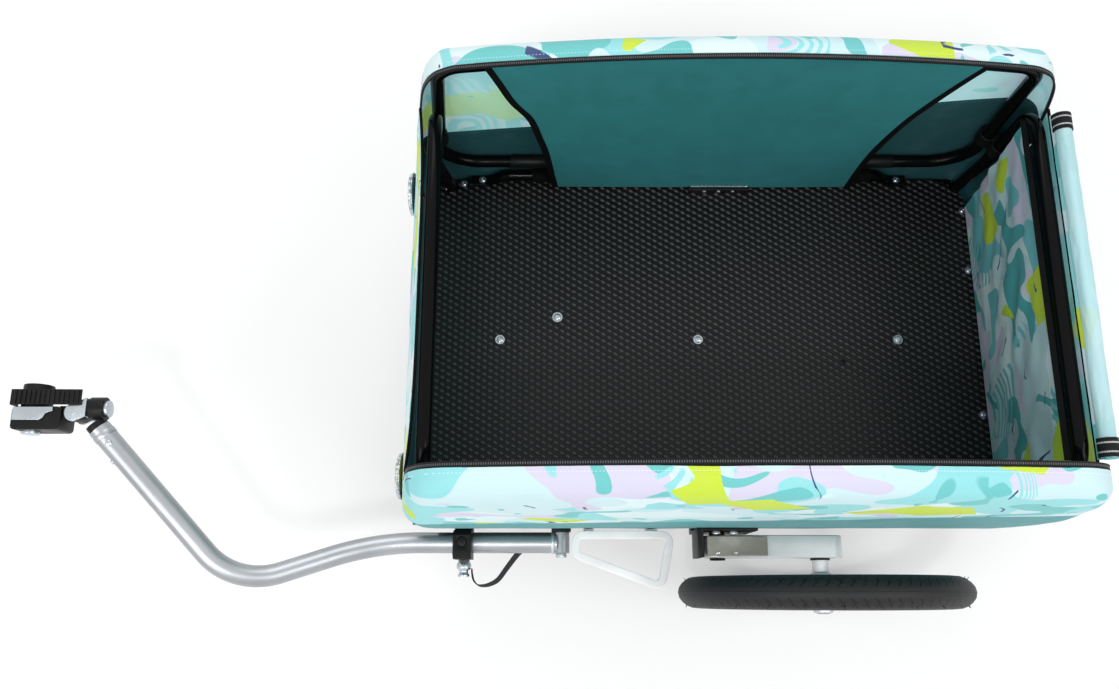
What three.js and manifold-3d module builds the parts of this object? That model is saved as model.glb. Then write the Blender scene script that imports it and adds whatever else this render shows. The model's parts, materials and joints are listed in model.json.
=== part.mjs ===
// Cargo bike trailer with an open fabric tub, two sprung wheels and a side drawbar.
// Millimetres. +X is the way it travels, +Y its left side, +Z up.
// The sizes below are measured from the axle line (x), the centre plane (y) and the ground (z).
import * as THREE from 'three';
import { mergeVertices } from 'three/addons/utils/BufferGeometryUtils.js';
import Module from 'manifold-3d';

const wasm = await Module();
wasm.setup();

// Clearances and shared sizes
const gap = 0.3;
const runningGap = 0.5;
const overrun = 3;
const mergeDistance = 0.001;
const fabric = 2.5;
const hoopTube = 18;
const hoopRadius = hoopTube / 2;
const seamFillet = 1;
const curveSegments = 5;

// Wheels
const wheelDiameter = 400;
const wheelRadius = wheelDiameter / 2;
const tyreWidth = 43;
const tyreDepth = 42;
const rimDepth = 14;
const rimOuterRadius = wheelRadius - tyreDepth;
const rimInnerRadius = rimOuterRadius - rimDepth;
const rimWidth = 25;
const rimSpineWidth = 14;
const hubHalfLength = 26;
const hubCapLength = 2;
const hubEndRadius = 14;
const hubBarrelRadius = 15;
const flangeRadius = 28;
const flangeInner = 19;
const flangeOuter = 21.5;
const spokeRadius = 1.2;
const spokeHoleRadius = 24;
const spokeCount = 20;
const spokeSpread = 0.42;
const axleRadius = 6;
const axleBore = axleRadius + runningGap + seamFillet / 10;
const buttonRadius = 9;
const buttonBore = buttonRadius + runningGap;
const buttonPocketDepth = 11;
const buttonLength = 8;
const buttonProud = 1;
const wheelSegments = 40;
const hubSegments = 14;

// Frame under the floor
const floorTop = 190;
const floorThickness = 5;
const floorFront = 565;
const floorRear = -267;
const floorHalfWidth = 264;
const floorRearCornerRadius = 56;
const floorFrontCornerRadius = 14;
const railHeight = 40;
const railWidth = 25;
const railOuterFace = 268;
const railFront = 545;
const railRear = -250;
const railTop = floorTop - floorThickness - gap;
const railBottom = railTop - railHeight;
const crossTubeSize = 25;
const crossTubeSpacing = 300;
const crossTubeMiddle = 159;

// Tub cover
const coverFront = 580;
const coverRear = -281;
const coverHem = 172;
const coverTop = 604;
const coverHalfWidth = 277;
const coverSag = 16;
const coverCornerRadius = 25;
const coverLength = coverFront - coverRear;
const coverHeight = coverTop - coverHem;
const zipCentre = 231.3;
const zipWidth = 8.4;
const zipThickness = 2.6;
const sideEdge = zipCentre + zipWidth / 2 + gap;
const endCoverHalfWidth = zipCentre - zipWidth / 2 - gap;
const endHoopHeight = 478;
const frontCoverTop = endHoopHeight + 10;
const rearCoverTop = endHoopHeight + 7;

// Hoops of the tub
const sideHoopBottom = 258;
const sideHoopTop = coverTop - 18;
const sideHoopBottomY = 263.5;
const sideHoopTopY = 246.5;
const sideHoopFront = 545;
const sideHoopRear = -240;
const sideHoopLeanFront = 33;
const sideHoopLeanRear = 24;
const sideHoopShoulder = 12;
const sideHoopLowerBend = 55;
const sideHoopUpperBend = 38;
const endHoopTopY = 230;
const endHoopFootY = 252;
const hoopFootGap = 1.6;
const endHoopKneeY = 243;
const endHoopKnee = 300;
const endHoopBend = 42;
const kneeBend = 150;
const frontHoopTopX = 527;
const frontHoopKneeX = 548;
const frontHoopFootX = 535;
const rearHoopTopX = -237;
const rearHoopKneeX = -252;
const rearHoopFootX = -252;
const clampHeight = 22;
const clampWall = 4;
const clampCentre = 350;

// Side rails inside the tub, with flattened ends screwed to the floor
const sideRailHeight = 214;
const sideRailY = 261;
const sideRailFront = 478;
const sideRailRear = -146;
const sideRailEndReach = 26;
const sideRailEndThickness = 6;
const sideRailBend = 30;

// Inner panels
const innerPanelBottom = 197;
const innerPanelTop = sideHoopTop + 4;
const innerPanelBottomY = 250.6;
const innerRearPanelHalfWidth = 215;
const innerRearPanelBottom = 197;
const innerRearPanelTop = endHoopHeight - 1;
const innerRearPanelBottomX = -262;

// Rolled roof cover and its straps
const rollRadius = 13.5;
const rollFlap = 1.6;
const rollHalfLength = 221;
const rollX = -256;
const rollZ = endHoopHeight + 23.2;
const strapWidth = 22;
const strapThickness = 2;
const strapPlace = 203;

// Reflectors
const reflectorRadius = 32;
const reflectorBase = 3;
const reflectorLens = 6;
const reflectorPlace = 208;
const reflectorHeight = 262;

// Suspension
const armWidth = 31;
const armHeight = 40;
const armPivotX = 144;
const armTailX = -11;
const stubRadius = 11.3;
const pivotPinRadius = 7;
const pivotHeadRadius = 11;
const pivotHeadThickness = 3;
const hangerInner = railOuterFace + 7.6;
const hangerThickness = 4.4;
const hangerOuter = hangerInner + hangerThickness;
const armInset = 4.5;
const armCentreY = hangerOuter + armInset + armWidth / 2;
const wheelClearance = 25;
const halfTrack = armCentreY + armWidth / 2 + wheelClearance + tyreWidth / 2;
const stubEnd = halfTrack - hubHalfLength - gap;
const hangerShoulder = coverHem - 3;
const bracketFront = 176;
const bracketRear = 93;
const bracketTop = 241;
const bracketWeb = 8;
const bracketWebBottom = 176;
const blockFront = armPivotX + 19.3;
const blockRear = 77.5;
const blockBreak = 111.4;
const blockHeight = 20;
const blockTail = 5;
const blockWidth = 26;

// Wheel guard loop
const guardBand = 11;
const guardThickness = 8;
const guardHeight = 200;
const guardInnerY = 283.5;
const guardFront = 343.5;
const guardRear = wheelRadius + 9;
const guardTailX = guardRear + 14.5;
const guardTailY = 355;
const guardNoseY = 311;
const guardBend = 11;
const guardFootWidth = 14;
const guardFootFront = 324.6;
const guardFootRear = guardRear + 25.5;

// Drawbar
const drawbarDiameter = 30;
const drawbarRadius = drawbarDiameter / 2;
const drawbarY = 292;
const drawbarZ = 155;
const pivotX = 364;
const sleeveRadius = 12;
const pivotBoltRadius = 5;
const pivotNutRadius = 9;
const pivotNutLength = 6;
const pivotBlockLength = 28;
const firstBendX = 634;
const secondBendX = 811;
const secondBendY = 355;
const secondBendZ = 224;
const firstBendRadius = 270;
const secondBendRadius = 95;
const drawbarEndX = 992;
const drawbarEndY = 146;
const drawbarEndZ = 288;
const drawbarSides = 14;

// Drawbar lock
const lockX = 505;
const lockLength = 26;
const lockWall = 8.6;
const lockTop = 192;
const lockBottom = 147;
const lockChamfer = 7;
const lockButtonRadius = 7;
const lockButtonLength = 5.4;
const lockButtonDepth = 8;
const lockButtonProud = 1.6;
const lockPinRadius = 4;
const lockKnobLength = 24;
const lockKnobRadius = 10.5;
const lanyardWidth = 9;
const lanyardThickness = 1.6;

// Hitch
const swivelY = 120;
const swivelZ = 292;
const swivelBossRadius = 16;
const swivelBossFront = 1003;
const swivelBossRear = 984;
const swivelShaftRadius = 6;
const swivelDiscRadius = 11.5;
const swivelDiscThickness = 5;
const neckRadius = 14;
const neckLength = 9;
const lugX = 1020;
const lugY = 127;
const lugRadius = 12.5;
const lugPlate = 3;
const lugHalfOpening = 14;
const rivetRadius = 4;
const headRear = 1035;
const headFront = 1101;
const headInner = 120;
const headOuter = 151;
const headHalfHeight = 20;
const headCorner = 5.5;
const cupX = 1079;
const cupRadius = 19.5;
const cupBore = 13;
const cupBoreDepth = 28;
const cupFace = 88;
const hitchButtonRadius = 12;
const hitchButtonX = 1083;
const hitchButtonDepth = 9;
const hitchButtonLength = 8;
const hitchButtonProud = 4;
const coverPlateThickness = 2;
const hitchStrapWidth = 21;
const hitchStrapThickness = 2;
const hitchStrapY = 107;
const hitchStrapRear = 1010;
const hitchStrapFront = 1105;
const hitchStrapDrop = 17;
const buckleWire = 2.6;
const buckleWidth = 27;
const buckleDepth = 13;
const buckleSides = 6;

// Finishes
const finish = (color, roughness, metalness) =>
  new THREE.MeshStandardMaterial({ color, roughness, metalness });
const blackTube = finish(0x101012, 0.25, 0.4);
const blackPlastic = finish(0x17181a, 0.5, 0);
const blackFloor = finish(0x1a1b1c, 0.45, 0);
const satinAluminium = finish(0xc6c9cc, 0.35, 0.9);
const zincPlate = finish(0xbfc9d0, 0.4, 0.8);
const paleFabric = finish(0xc8e4e8, 0.85, 0);
const tealFabric = finish(0x377d82, 0.85, 0);
const blackWebbing = finish(0x1b1b1d, 0.8, 0);
const greyWebbing = finish(0x55565a, 0.8, 0);
const rubber = finish(0x1c1c1e, 0.7, 0);
const elastomer = finish(0x97938a, 0.6, 0.1);
const clearLens = finish(0xe8ecee, 0.15, 0);
const whiteBar = finish(0xeef0f0, 0.35, 0.2);

// Basic tools: solids, joins and cuts

function bareGeometry(geometry) {
  const bare = geometry.clone();
  bare.deleteAttribute('normal');
  bare.deleteAttribute('uv');
  return mergeVertices(bare, mergeDistance);
}

function solidOf(geometry) {
  const bare = bareGeometry(geometry);
  return new wasm.Manifold(new wasm.Mesh({
    numProp: 3,
    vertProperties: bare.attributes.position.array,
    triVerts: new Uint32Array(bare.index.array),
  }));
}

function geometryOf(solid) {
  const mesh = solid.getMesh();
  const geometry = new THREE.BufferGeometry();
  geometry.setAttribute('position', new THREE.BufferAttribute(mesh.vertProperties, 3));
  geometry.setIndex(new THREE.BufferAttribute(mesh.triVerts, 1));
  geometry.computeVertexNormals();
  return geometry;
}

function joined(...geometries) {
  return geometryOf(geometries.map(solidOf).reduce((whole, piece) => whole.add(piece)));
}

function cut(geometry, ...tools) {
  return geometryOf(tools.map(solidOf).reduce((rest, tool) => rest.subtract(tool), solidOf(geometry)));
}

// Turns a closed mesh so that its faces point out
function facingOut(positions, triangles) {
  let volume = 0;
  const a = new THREE.Vector3();
  const b = new THREE.Vector3();
  const c = new THREE.Vector3();
  triangles.forEach(([i, j, k]) => {
    a.copy(positions[i]);
    b.copy(positions[j]);
    c.copy(positions[k]);
    volume += a.dot(b.cross(c));
  });
  const index = volume < 0
    ? triangles.flatMap(([i, j, k]) => [i, k, j])
    : triangles.flat();
  const geometry = new THREE.BufferGeometry().setFromPoints(positions);
  geometry.setIndex(index);
  geometry.computeVertexNormals();
  return geometry;
}

// Joins rings of equally many points into one closed body
function loft(rings, loop = false) {
  const sides = rings[0].length;
  const positions = rings.flat();
  const triangles = [];
  const spans = loop ? rings.length : rings.length - 1;
  for (let row = 0; row < spans; row += 1) {
    const next = (row + 1) % rings.length;
    for (let side = 0; side < sides; side += 1) {
      const after = (side + 1) % sides;
      const near = row * sides;
      const far = next * sides;
      triangles.push([near + side, near + after, far + after]);
      triangles.push([near + side, far + after, far + side]);
    }
  }
  if (!loop) {
    [0, rings.length - 1].forEach((row) => {
      const centre = new THREE.Vector3();
      rings[row].forEach((point) => centre.add(point));
      positions.push(centre.divideScalar(sides));
      const hub = positions.length - 1;
      for (let side = 0; side < sides; side += 1) {
        const here = row * sides + side;
        const there = row * sides + (side + 1) % sides;
        triangles.push(row === 0 ? [hub, there, here] : [hub, here, there]);
      }
    });
  }
  return facingOut(positions, triangles);
}

// A closed sheet between an outer and an inner grid of points
function sheetBetween(outer, inner) {
  const rows = outer.length;
  const columns = outer[0].length;
  const positions = [...outer.flat(), ...inner.flat()];
  const triangles = [];
  const at = (layer, row, column) => layer * rows * columns + row * columns + column;
  const quad = (a, b, c, d) => triangles.push([a, b, c], [a, c, d]);
  for (let row = 0; row < rows - 1; row += 1) {
    for (let column = 0; column < columns - 1; column += 1) {
      quad(at(0, row, column), at(0, row, column + 1), at(0, row + 1, column + 1), at(0, row + 1, column));
      quad(at(1, row, column), at(1, row + 1, column), at(1, row + 1, column + 1), at(1, row, column + 1));
    }
  }
  for (let row = 0; row < rows - 1; row += 1) {
    const last = columns - 1;
    quad(at(0, row, 0), at(0, row + 1, 0), at(1, row + 1, 0), at(1, row, 0));
    quad(at(0, row, last), at(1, row, last), at(1, row + 1, last), at(0, row + 1, last));
  }
  for (let column = 0; column < columns - 1; column += 1) {
    const last = rows - 1;
    quad(at(0, 0, column), at(1, 0, column), at(1, 0, column + 1), at(0, 0, column + 1));
    quad(at(0, last, column), at(0, last, column + 1), at(1, last, column + 1), at(1, last, column));
  }
  return facingOut(positions, triangles);
}

// A line through corner points, with a round bend at each corner
function bentPath(corners, radii, steps, loop = false) {
  const count = corners.length;
  const points = [];
  corners.forEach((corner, place) => {
    if (!loop && (place === 0 || place === count - 1)) {
      points.push(corner.clone());
      return;
    }
    const before = corners[(place + count - 1) % count].clone().sub(corner).normalize();
    const after = corners[(place + 1) % count].clone().sub(corner).normalize();
    const half = before.angleTo(after) / 2;
    const radius = radii[place];
    const centre = before.clone().add(after).normalize().multiplyScalar(radius / Math.sin(half)).add(corner);
    const reach = radius / Math.tan(half);
    const start = before.multiplyScalar(reach).add(corner).sub(centre);
    const end = after.multiplyScalar(reach).add(corner).sub(centre);
    const turn = Math.PI - 2 * half;
    for (let step = 0; step <= steps; step += 1) {
      const part = step / steps;
      const from = start.clone().multiplyScalar(Math.sin((1 - part) * turn) / Math.sin(turn));
      const to = end.clone().multiplyScalar(Math.sin(part * turn) / Math.sin(turn));
      points.push(from.add(to).add(centre));
    }
  });
  return points;
}

// Sweeps a section along a path. The section's x runs along side, its y across it and the path.
function sweep(path, section, side, { loop = false, flatten = () => 1 } = {}) {
  const count = path.length;
  const rings = path.map((point, place) => {
    const before = loop ? path[(place + count - 1) % count] : path[Math.max(place - 1, 0)];
    const after = loop ? path[(place + 1) % count] : path[Math.min(place + 1, count - 1)];
    const tangent = after.clone().sub(before).normalize();
    const across = side.clone().addScaledVector(tangent, -side.dot(tangent)).normalize();
    const normal = tangent.clone().cross(across);
    return section.map(([x, y]) => point.clone()
      .addScaledVector(across, x)
      .addScaledVector(normal, y * flatten(place / (count - 1))));
  });
  return loft(rings, loop);
}

function roundSection(radius, sides) {
  return Array.from({ length: sides }, (_, place) => {
    const angle = place / sides * Math.PI * 2;
    return [Math.cos(angle) * radius, Math.sin(angle) * radius];
  });
}

function flatSection(width, thickness) {
  const x = width / 2;
  const y = thickness / 2;
  return [[x, y], [-x, y], [-x, -y], [x, -y]];
}

const sideways = new THREE.Vector3(0, 1, 0);
const upwards = new THREE.Vector3(0, 0, 1);
const forwards = new THREE.Vector3(1, 0, 0);

function outlineOf(points) {
  return new THREE.Shape(points.map(([x, y]) => new THREE.Vector2(x, y)));
}

// An outline in x and z, thick along y from yLow to yHigh
function alongY(outline, yLow, yHigh) {
  const geometry = new THREE.ExtrudeGeometry(outline, { depth: yHigh - yLow, bevelEnabled: false, curveSegments });
  geometry.rotateX(Math.PI / 2);
  return geometry.translate(0, yHigh, 0);
}

// An outline in y and z, thick along x from xLow to xHigh
function alongX(outline, xLow, xHigh) {
  const geometry = new THREE.ExtrudeGeometry(outline, { depth: xHigh - xLow, bevelEnabled: false, curveSegments });
  geometry.applyMatrix4(new THREE.Matrix4().makeBasis(sideways, upwards, forwards));
  return geometry.translate(xLow, 0, 0);
}

// An outline in x and y, thick along z from zLow to zHigh
function alongZ(outline, zLow, zHigh) {
  const geometry = new THREE.ExtrudeGeometry(outline, { depth: zHigh - zLow, bevelEnabled: false, curveSegments });
  return geometry.translate(0, 0, zLow);
}

function block([x0, x1], [y0, y1], [z0, z1]) {
  const geometry = new THREE.BoxGeometry(x1 - x0, y1 - y0, z1 - z0);
  return geometry.translate((x0 + x1) / 2, (y0 + y1) / 2, (z0 + z1) / 2);
}

function rodAlongY(radius, x, z, yLow, yHigh, sides = 16) {
  const geometry = new THREE.CylinderGeometry(radius, radius, yHigh - yLow, sides);
  return geometry.translate(x, (yLow + yHigh) / 2, z);
}

function rodAlongX(radius, y, z, xLow, xHigh, sides = 16) {
  const geometry = new THREE.CylinderGeometry(radius, radius, xHigh - xLow, sides);
  geometry.rotateZ(Math.PI / 2);
  return geometry.translate((xLow + xHigh) / 2, y, z);
}

function rodAlongZ(radius, x, y, zLow, zHigh, sides = 16) {
  const geometry = new THREE.CylinderGeometry(radius, radius, zHigh - zLow, sides);
  geometry.rotateX(Math.PI / 2);
  return geometry.translate(x, y, (zLow + zHigh) / 2);
}

function rodBetween(radius, start, end, sides = 16) {
  const length = start.distanceTo(end);
  const geometry = new THREE.CylinderGeometry(radius, radius, length, sides);
  const turn = new THREE.Quaternion().setFromUnitVectors(sideways, end.clone().sub(start).normalize());
  geometry.applyQuaternion(turn);
  const middle = start.clone().add(end).multiplyScalar(0.5);
  return geometry.translate(middle.x, middle.y, middle.z);
}

function revolve(profile, segments) {
  return new THREE.LatheGeometry(profile.map(([radius, along]) => new THREE.Vector2(radius, along)), segments);
}

function roundedPlate(x0, x1, y0, y1, radius) {
  const shape = new THREE.Shape();
  shape.moveTo(x0 + radius, y0);
  shape.lineTo(x1 - radius, y0);
  shape.absarc(x1 - radius, y0 + radius, radius, -Math.PI / 2, 0, false);
  shape.lineTo(x1, y1 - radius);
  shape.absarc(x1 - radius, y1 - radius, radius, 0, Math.PI / 2, false);
  shape.lineTo(x0 + radius, y1);
  shape.absarc(x0 + radius, y1 - radius, radius, Math.PI / 2, Math.PI, false);
  shape.lineTo(x0, y0 + radius);
  shape.absarc(x0 + radius, y0 + radius, radius, Math.PI, Math.PI * 1.5, false);
  return shape;
}

function mirrored(geometry) {
  const copy = geometry.clone().scale(1, -1, 1);
  if (copy.index) {
    const index = copy.index.array.slice();
    for (let place = 0; place < index.length; place += 3) {
      [index[place], index[place + 1]] = [index[place + 1], index[place]];
    }
    copy.setIndex(new THREE.BufferAttribute(index, 1));
    copy.computeVertexNormals();
    return copy;
  }
  return mirrored(mergeVertices(copy.scale(1, -1, 1), mergeDistance));
}

const trailer = new THREE.Group();

function add(name, geometry, material, group = trailer) {
  const mesh = new THREE.Mesh(geometry, material);
  mesh.name = name;
  group.add(mesh);
}

function addPair(name, geometry, material) {
  add(`${name}_left`, geometry, material);
  add(`${name}_right`, mirrored(geometry), material);
}

// Floor and the frame below it

// The floor has rounder corners at the rear, and a hole round the foot of each end hoop
function makeFloor() {
  const low = floorTop - floorThickness;
  const rear = roundedPlate(floorRear, floorFront - floorFrontCornerRadius, -floorHalfWidth, floorHalfWidth,
    floorRearCornerRadius);
  const front = roundedPlate(crossTubeMiddle, floorFront, -floorHalfWidth, floorHalfWidth, floorFrontCornerRadius);
  const feet = [frontHoopFootX, rearHoopFootX].flatMap((x) => [-endHoopFootY, endHoopFootY].map(
    (y) => rodAlongZ(hoopRadius + hoopFootGap, x, y, low - overrun, floorTop + overrun, 14),
  ));
  const sheet = joined(alongZ(rear, low, floorTop), alongZ(front, low, floorTop));
  add('floor_panel', cut(sheet, ...feet), blackFloor);
}

function makeFrame() {
  const railSpan = [railOuterFace - railWidth, railOuterFace];
  addPair('frame_rail', block([railRear, railFront], railSpan, [railBottom, railTop]), blackTube);
  const reach = railOuterFace - railWidth - gap;
  ['rear', 'middle', 'front'].forEach((place, step) => {
    const x = crossTubeMiddle + (step - 1) * crossTubeSpacing;
    const tube = block(
      [x - crossTubeSize / 2, x + crossTubeSize / 2],
      [-reach, reach],
      [railTop - crossTubeSize, railTop],
    );
    add(`cross_tube_${place}`, tube, blackTube);
  });
}

// Each side rail is a tube whose flattened ends come down to the floor
function makeSideRails() {
  const seat = floorTop + gap + sideRailEndThickness / 2;
  const corners = [
    [sideRailRear - sideRailEndReach, seat],
    [sideRailRear, seat],
    [sideRailRear + sideRailEndReach, sideRailHeight],
    [sideRailFront - sideRailEndReach, sideRailHeight],
    [sideRailFront, seat],
    [sideRailFront + sideRailEndReach, seat],
  ].map(([x, z]) => new THREE.Vector3(x, sideRailY, z));
  const bends = corners.map(() => sideRailBend);
  const path = bentPath(corners, bends, 3);
  const flatShare = sideRailEndThickness / hoopTube;
  const flattened = path.map((point) => {
    const rise = (point.z - seat) / (sideRailHeight - seat);
    return flatShare + (1 - flatShare) * Math.min(1, rise * 1.2);
  });
  const last = path.length - 1;
  const flatten = (share) => flattened[Math.round(share * last)];
  addPair('side_rail', sweep(path, roundSection(hoopRadius, 10), sideways, { flatten }), blackTube);
}

// Hoops that hold the cover up

function sideHoopY(z) {
  const share = (z - sideHoopBottom) / (sideHoopTop - sideHoopBottom);
  return sideHoopBottomY + (sideHoopTopY - sideHoopBottomY) * share;
}

function sideHoopPath() {
  const topFront = sideHoopFront - sideHoopLeanFront;
  const topRear = sideHoopRear + sideHoopLeanRear;
  const span = topFront - topRear;
  const shoulder = sideHoopTop - sideHoopShoulder;
  const crown = [
    [topRear + span * 0.3, sideHoopTop - sideHoopShoulder * 0.2],
    [topRear + span * 0.7, sideHoopTop - sideHoopShoulder * 0.2],
  ];
  const outline = [
    [sideHoopFront, sideHoopBottom],
    [topFront, shoulder],
    crown[1],
    crown[0],
    [topRear, shoulder],
    [sideHoopRear, sideHoopBottom],
  ];
  const corners = outline.map(([x, z]) => new THREE.Vector3(x, sideHoopY(z), z));
  const crownBend = sideHoopUpperBend * 10;
  const bends = [
    sideHoopLowerBend, sideHoopUpperBend, crownBend, crownBend, sideHoopUpperBend, sideHoopLowerBend,
  ];
  return bentPath(corners, bends, 3, true);
}

function endHoopPath(topX, kneeX, footX) {
  const foot = railTop + hoopFootGap;
  const leftSide = [
    [footX, endHoopFootY, foot],
    [kneeX, endHoopKneeY, endHoopKnee],
    [topX, endHoopTopY, endHoopHeight],
  ];
  const rightSide = leftSide.map(([x, y, z]) => [x, -y, z]).reverse();
  const corners = [...leftSide, ...rightSide].map((point) => new THREE.Vector3(...point));
  const bends = [0, kneeBend, endHoopBend, endHoopBend, kneeBend, 0];
  return bentPath(corners, bends, 3);
}

function makeHoops() {
  const section = roundSection(hoopRadius, 10);
  addPair('side_hoop', sweep(sideHoopPath(), section, sideways, { loop: true }), blackTube);
  const front = endHoopPath(frontHoopTopX, frontHoopKneeX, frontHoopFootX);
  const rear = endHoopPath(rearHoopTopX, rearHoopKneeX, rearHoopFootX);
  add('front_hoop', sweep(front, section, forwards), blackTube);
  add('rear_hoop', sweep(rear, section, forwards), blackTube);
}

// A clamp grips the upright of a side hoop and the upright of an end hoop beside it
function pointAtHeight(path, height) {
  const place = path.findIndex((point, step) => step > 0 && (path[step - 1].z - height) * (point.z - height) <= 0);
  const low = path[place - 1];
  const high = path[place];
  return low.clone().lerp(high, (height - low.z) / (high.z - low.z));
}

function makeClamp(place, endPath, sideX) {
  const side = sideHoopPath();
  const near = side.filter((point) => Math.abs(point.x - sideX) < sideHoopLowerBend);
  near.sort((a, b) => a.z - b.z);
  const first = pointAtHeight(near, clampCentre);
  const second = pointAtHeight(endPath, clampCentre);
  const outer = hoopRadius + clampWall;
  const [zLow, zHigh] = [clampCentre - clampHeight / 2, clampCentre + clampHeight / 2];
  const body = joined(
    rodAlongZ(outer, first.x, first.y, zLow, zHigh, 14),
    rodAlongZ(outer, second.x, second.y, zLow, zHigh, 14),
  );
  const bore = roundSection(hoopRadius + gap, 10);
  const clamp = cut(body, sweep(side, bore, sideways, { loop: true }), sweep(endPath, bore, forwards));
  addPair(`hoop_clamp_${place}`, clamp, blackPlastic);
}

function makeClamps() {
  makeClamp('front', endHoopPath(frontHoopTopX, frontHoopKneeX, frontHoopFootX), sideHoopFront);
  makeClamp('rear', endHoopPath(rearHoopTopX, rearHoopKneeX, rearHoopFootX), sideHoopRear);
}

// Fabric tub cover. Each row is a level of the wall, from the hem up and over the top edge:
// height, half width, rear edge, front edge and corner radius, as shares of the cover's sizes.
const coverRowShares = [
  [0, 0.982, 0.008, 0.993, 1],
  [0.18, 0.996, 0.002, 1, 1],
  [0.39, 1, 0, 0.988, 1],
  [0.58, 0.993, 0.007, 0.973, 1],
  [0.75, 0.987, 0.027, 0.959, 1],
  [0.895, 0.978, 0.048, 0.945, 0.9],
  [0.963, 0.962, 0.064, 0.931, 0.7],
  [0.989, 0.93, 0.078, 0.917, 0.45],
  [1, 0.89, 0.089, 0.906, 0.2],
  [1, 0.863, 0.099, 0.897, 0.06],
];

function coverTopAt(x) {
  const middle = (coverFront + coverRear) / 2;
  const share = (x - middle) / (coverLength / 2);
  return coverTop - coverSag * share * share;
}

function coverRow(place, inset) {
  const [height, width, rear, front, corner] = coverRowShares[place];
  const over = place >= coverRowShares.length - 3 ? inset : 0;
  const around = over > 0 ? inset * (coverRowShares.length - 1 - place) / 2 : inset;
  return {
    z: (x) => coverHem + (coverTopAt(x) - coverHem) * height - over,
    halfWidth: coverHalfWidth * width - around,
    rear: coverRear + coverLength * rear + around,
    front: coverRear + coverLength * front - around,
    radius: coverCornerRadius * corner,
  };
}

function coverLine(place, inset) {
  const row = coverRow(place, inset);
  const start = sideEdge;
  const radius = Math.min(row.radius, row.halfWidth - start - seamFillet);
  const steps = 4;
  const corner = (x, turn) => Array.from({ length: steps + 1 }, (_, step) => {
    const angle = step / steps * Math.PI / 2;
    const across = turn > 0 ? Math.cos(angle) : Math.sin(angle);
    const along = turn > 0 ? Math.sin(angle) : Math.cos(angle);
    return [x + turn * radius * across, row.halfWidth - radius + radius * along];
  });
  const frontCorner = corner(row.front - radius, 1);
  const rearCorner = corner(row.rear + radius, -1);
  const straight = [];
  const pieces = 8;
  for (let step = 1; step < pieces; step += 1) {
    const share = step / pieces;
    const x = row.front - radius + (row.rear - row.front + 2 * radius) * share;
    straight.push([x, row.halfWidth]);
  }
  const line = [[row.front, start], ...frontCorner, ...straight, ...rearCorner, [row.rear, start]];
  return line.map(([x, y]) => new THREE.Vector3(x, y, row.z(x)));
}

function makeSideCovers() {
  const rows = coverRowShares.map((_, place) => place);
  const outer = rows.map((place) => coverLine(place, 0));
  const inner = rows.map((place) => coverLine(place, fabric));
  addPair('side_cover', sheetBetween(outer, inner), paleFabric);
}

// The profile of the front or rear wall, from the hem to the given height
function endProfile(edge, top) {
  const points = coverRowShares.map((_, place) => coverRow(place, 0))
    .map((row) => [row[edge], row.z(row[edge])])
    .filter(([, z]) => z < top);
  const [lastX, lastZ] = points[points.length - 1];
  const after = coverRow(points.length, 0);
  const [nextX, nextZ] = [after[edge], after.z(after[edge])];
  const share = (top - lastZ) / (nextZ - lastZ);
  points.push([lastX + (nextX - lastX) * share, top]);
  return points;
}

function makeEndCover(name, edge, top, inwards) {
  const outside = endProfile(edge, top);
  const inside = outside.map(([x, z]) => [x + inwards * fabric, z]).reverse();
  const outline = outlineOf([...outside, ...inside]);
  add(name, alongY(outline, -endCoverHalfWidth, endCoverHalfWidth), paleFabric);
}

// The zip follows the cover's edge from the front hem over the top to the rear hem
function zipPath() {
  const rows = coverRowShares.map((_, place) => coverRow(place, 0));
  const depth = fabric / 2;
  const front = rows.map((row) => [row.front - depth, row.z(row.front)]);
  const rear = rows.map((row) => [row.rear + depth, row.z(row.rear)]).reverse();
  const steps = 6;
  const top = [];
  const [frontEnd] = front[front.length - 1];
  const [rearEnd] = rear[0];
  for (let step = 1; step < steps; step += 1) {
    const x = frontEnd + (rearEnd - frontEnd) * step / steps;
    top.push([x, coverTopAt(x)]);
  }
  return [...front, ...top, ...rear].map(([x, z]) => new THREE.Vector3(x, zipCentre, z));
}

function makeZips() {
  addPair('edge_zip', sweep(zipPath(), flatSection(zipWidth, zipThickness), sideways), blackWebbing);
}

// Inner side panels: a bound edge that curves in towards the floor.
// Each point is a share of the cover's length from its rear and of the panel's height.
const innerPanelShares = [
  [0.761, 0], [0.768, 0.2], [0.776, 0.36], [0.785, 0.49], [0.799, 0.65], [0.819, 0.78], [0.848, 1],
  [0.165, 1], [0.197, 0.81], [0.215, 0.66], [0.227, 0.51], [0.235, 0.33], [0.234, 0],
];

function makeInnerSidePanels() {
  const height = innerPanelTop - innerPanelBottom;
  const topY = sideHoopY(innerPanelTop) - hoopRadius - gap;
  const outline = outlineOf(innerPanelShares.map(([along, up]) => [coverRear + coverLength * along, up * height]));
  const panel = new THREE.ExtrudeGeometry(outline, { depth: fabric, bevelEnabled: false });
  panel.applyMatrix4(new THREE.Matrix4().makeBasis(forwards, upwards, sideways.clone().negate()));
  panel.applyMatrix4(new THREE.Matrix4().makeShear(0, 0, 0, 0, 0, (topY - innerPanelBottomY) / height));
  addPair('inner_side_panel', panel.translate(0, innerPanelBottomY, innerPanelBottom), tealFabric);
}

function makeInnerRearPanel() {
  const tubeLow = innerRearPanelTop;
  const topX = rearHoopTopX + hoopRadius + gap;
  const outline = outlineOf([
    [innerRearPanelBottomX, innerRearPanelBottom],
    [innerRearPanelBottomX + fabric, innerRearPanelBottom],
    [topX + fabric, tubeLow],
    [topX, tubeLow],
  ]);
  add('inner_rear_panel', alongY(outline, -innerRearPanelHalfWidth, innerRearPanelHalfWidth), paleFabric);
}

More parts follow.
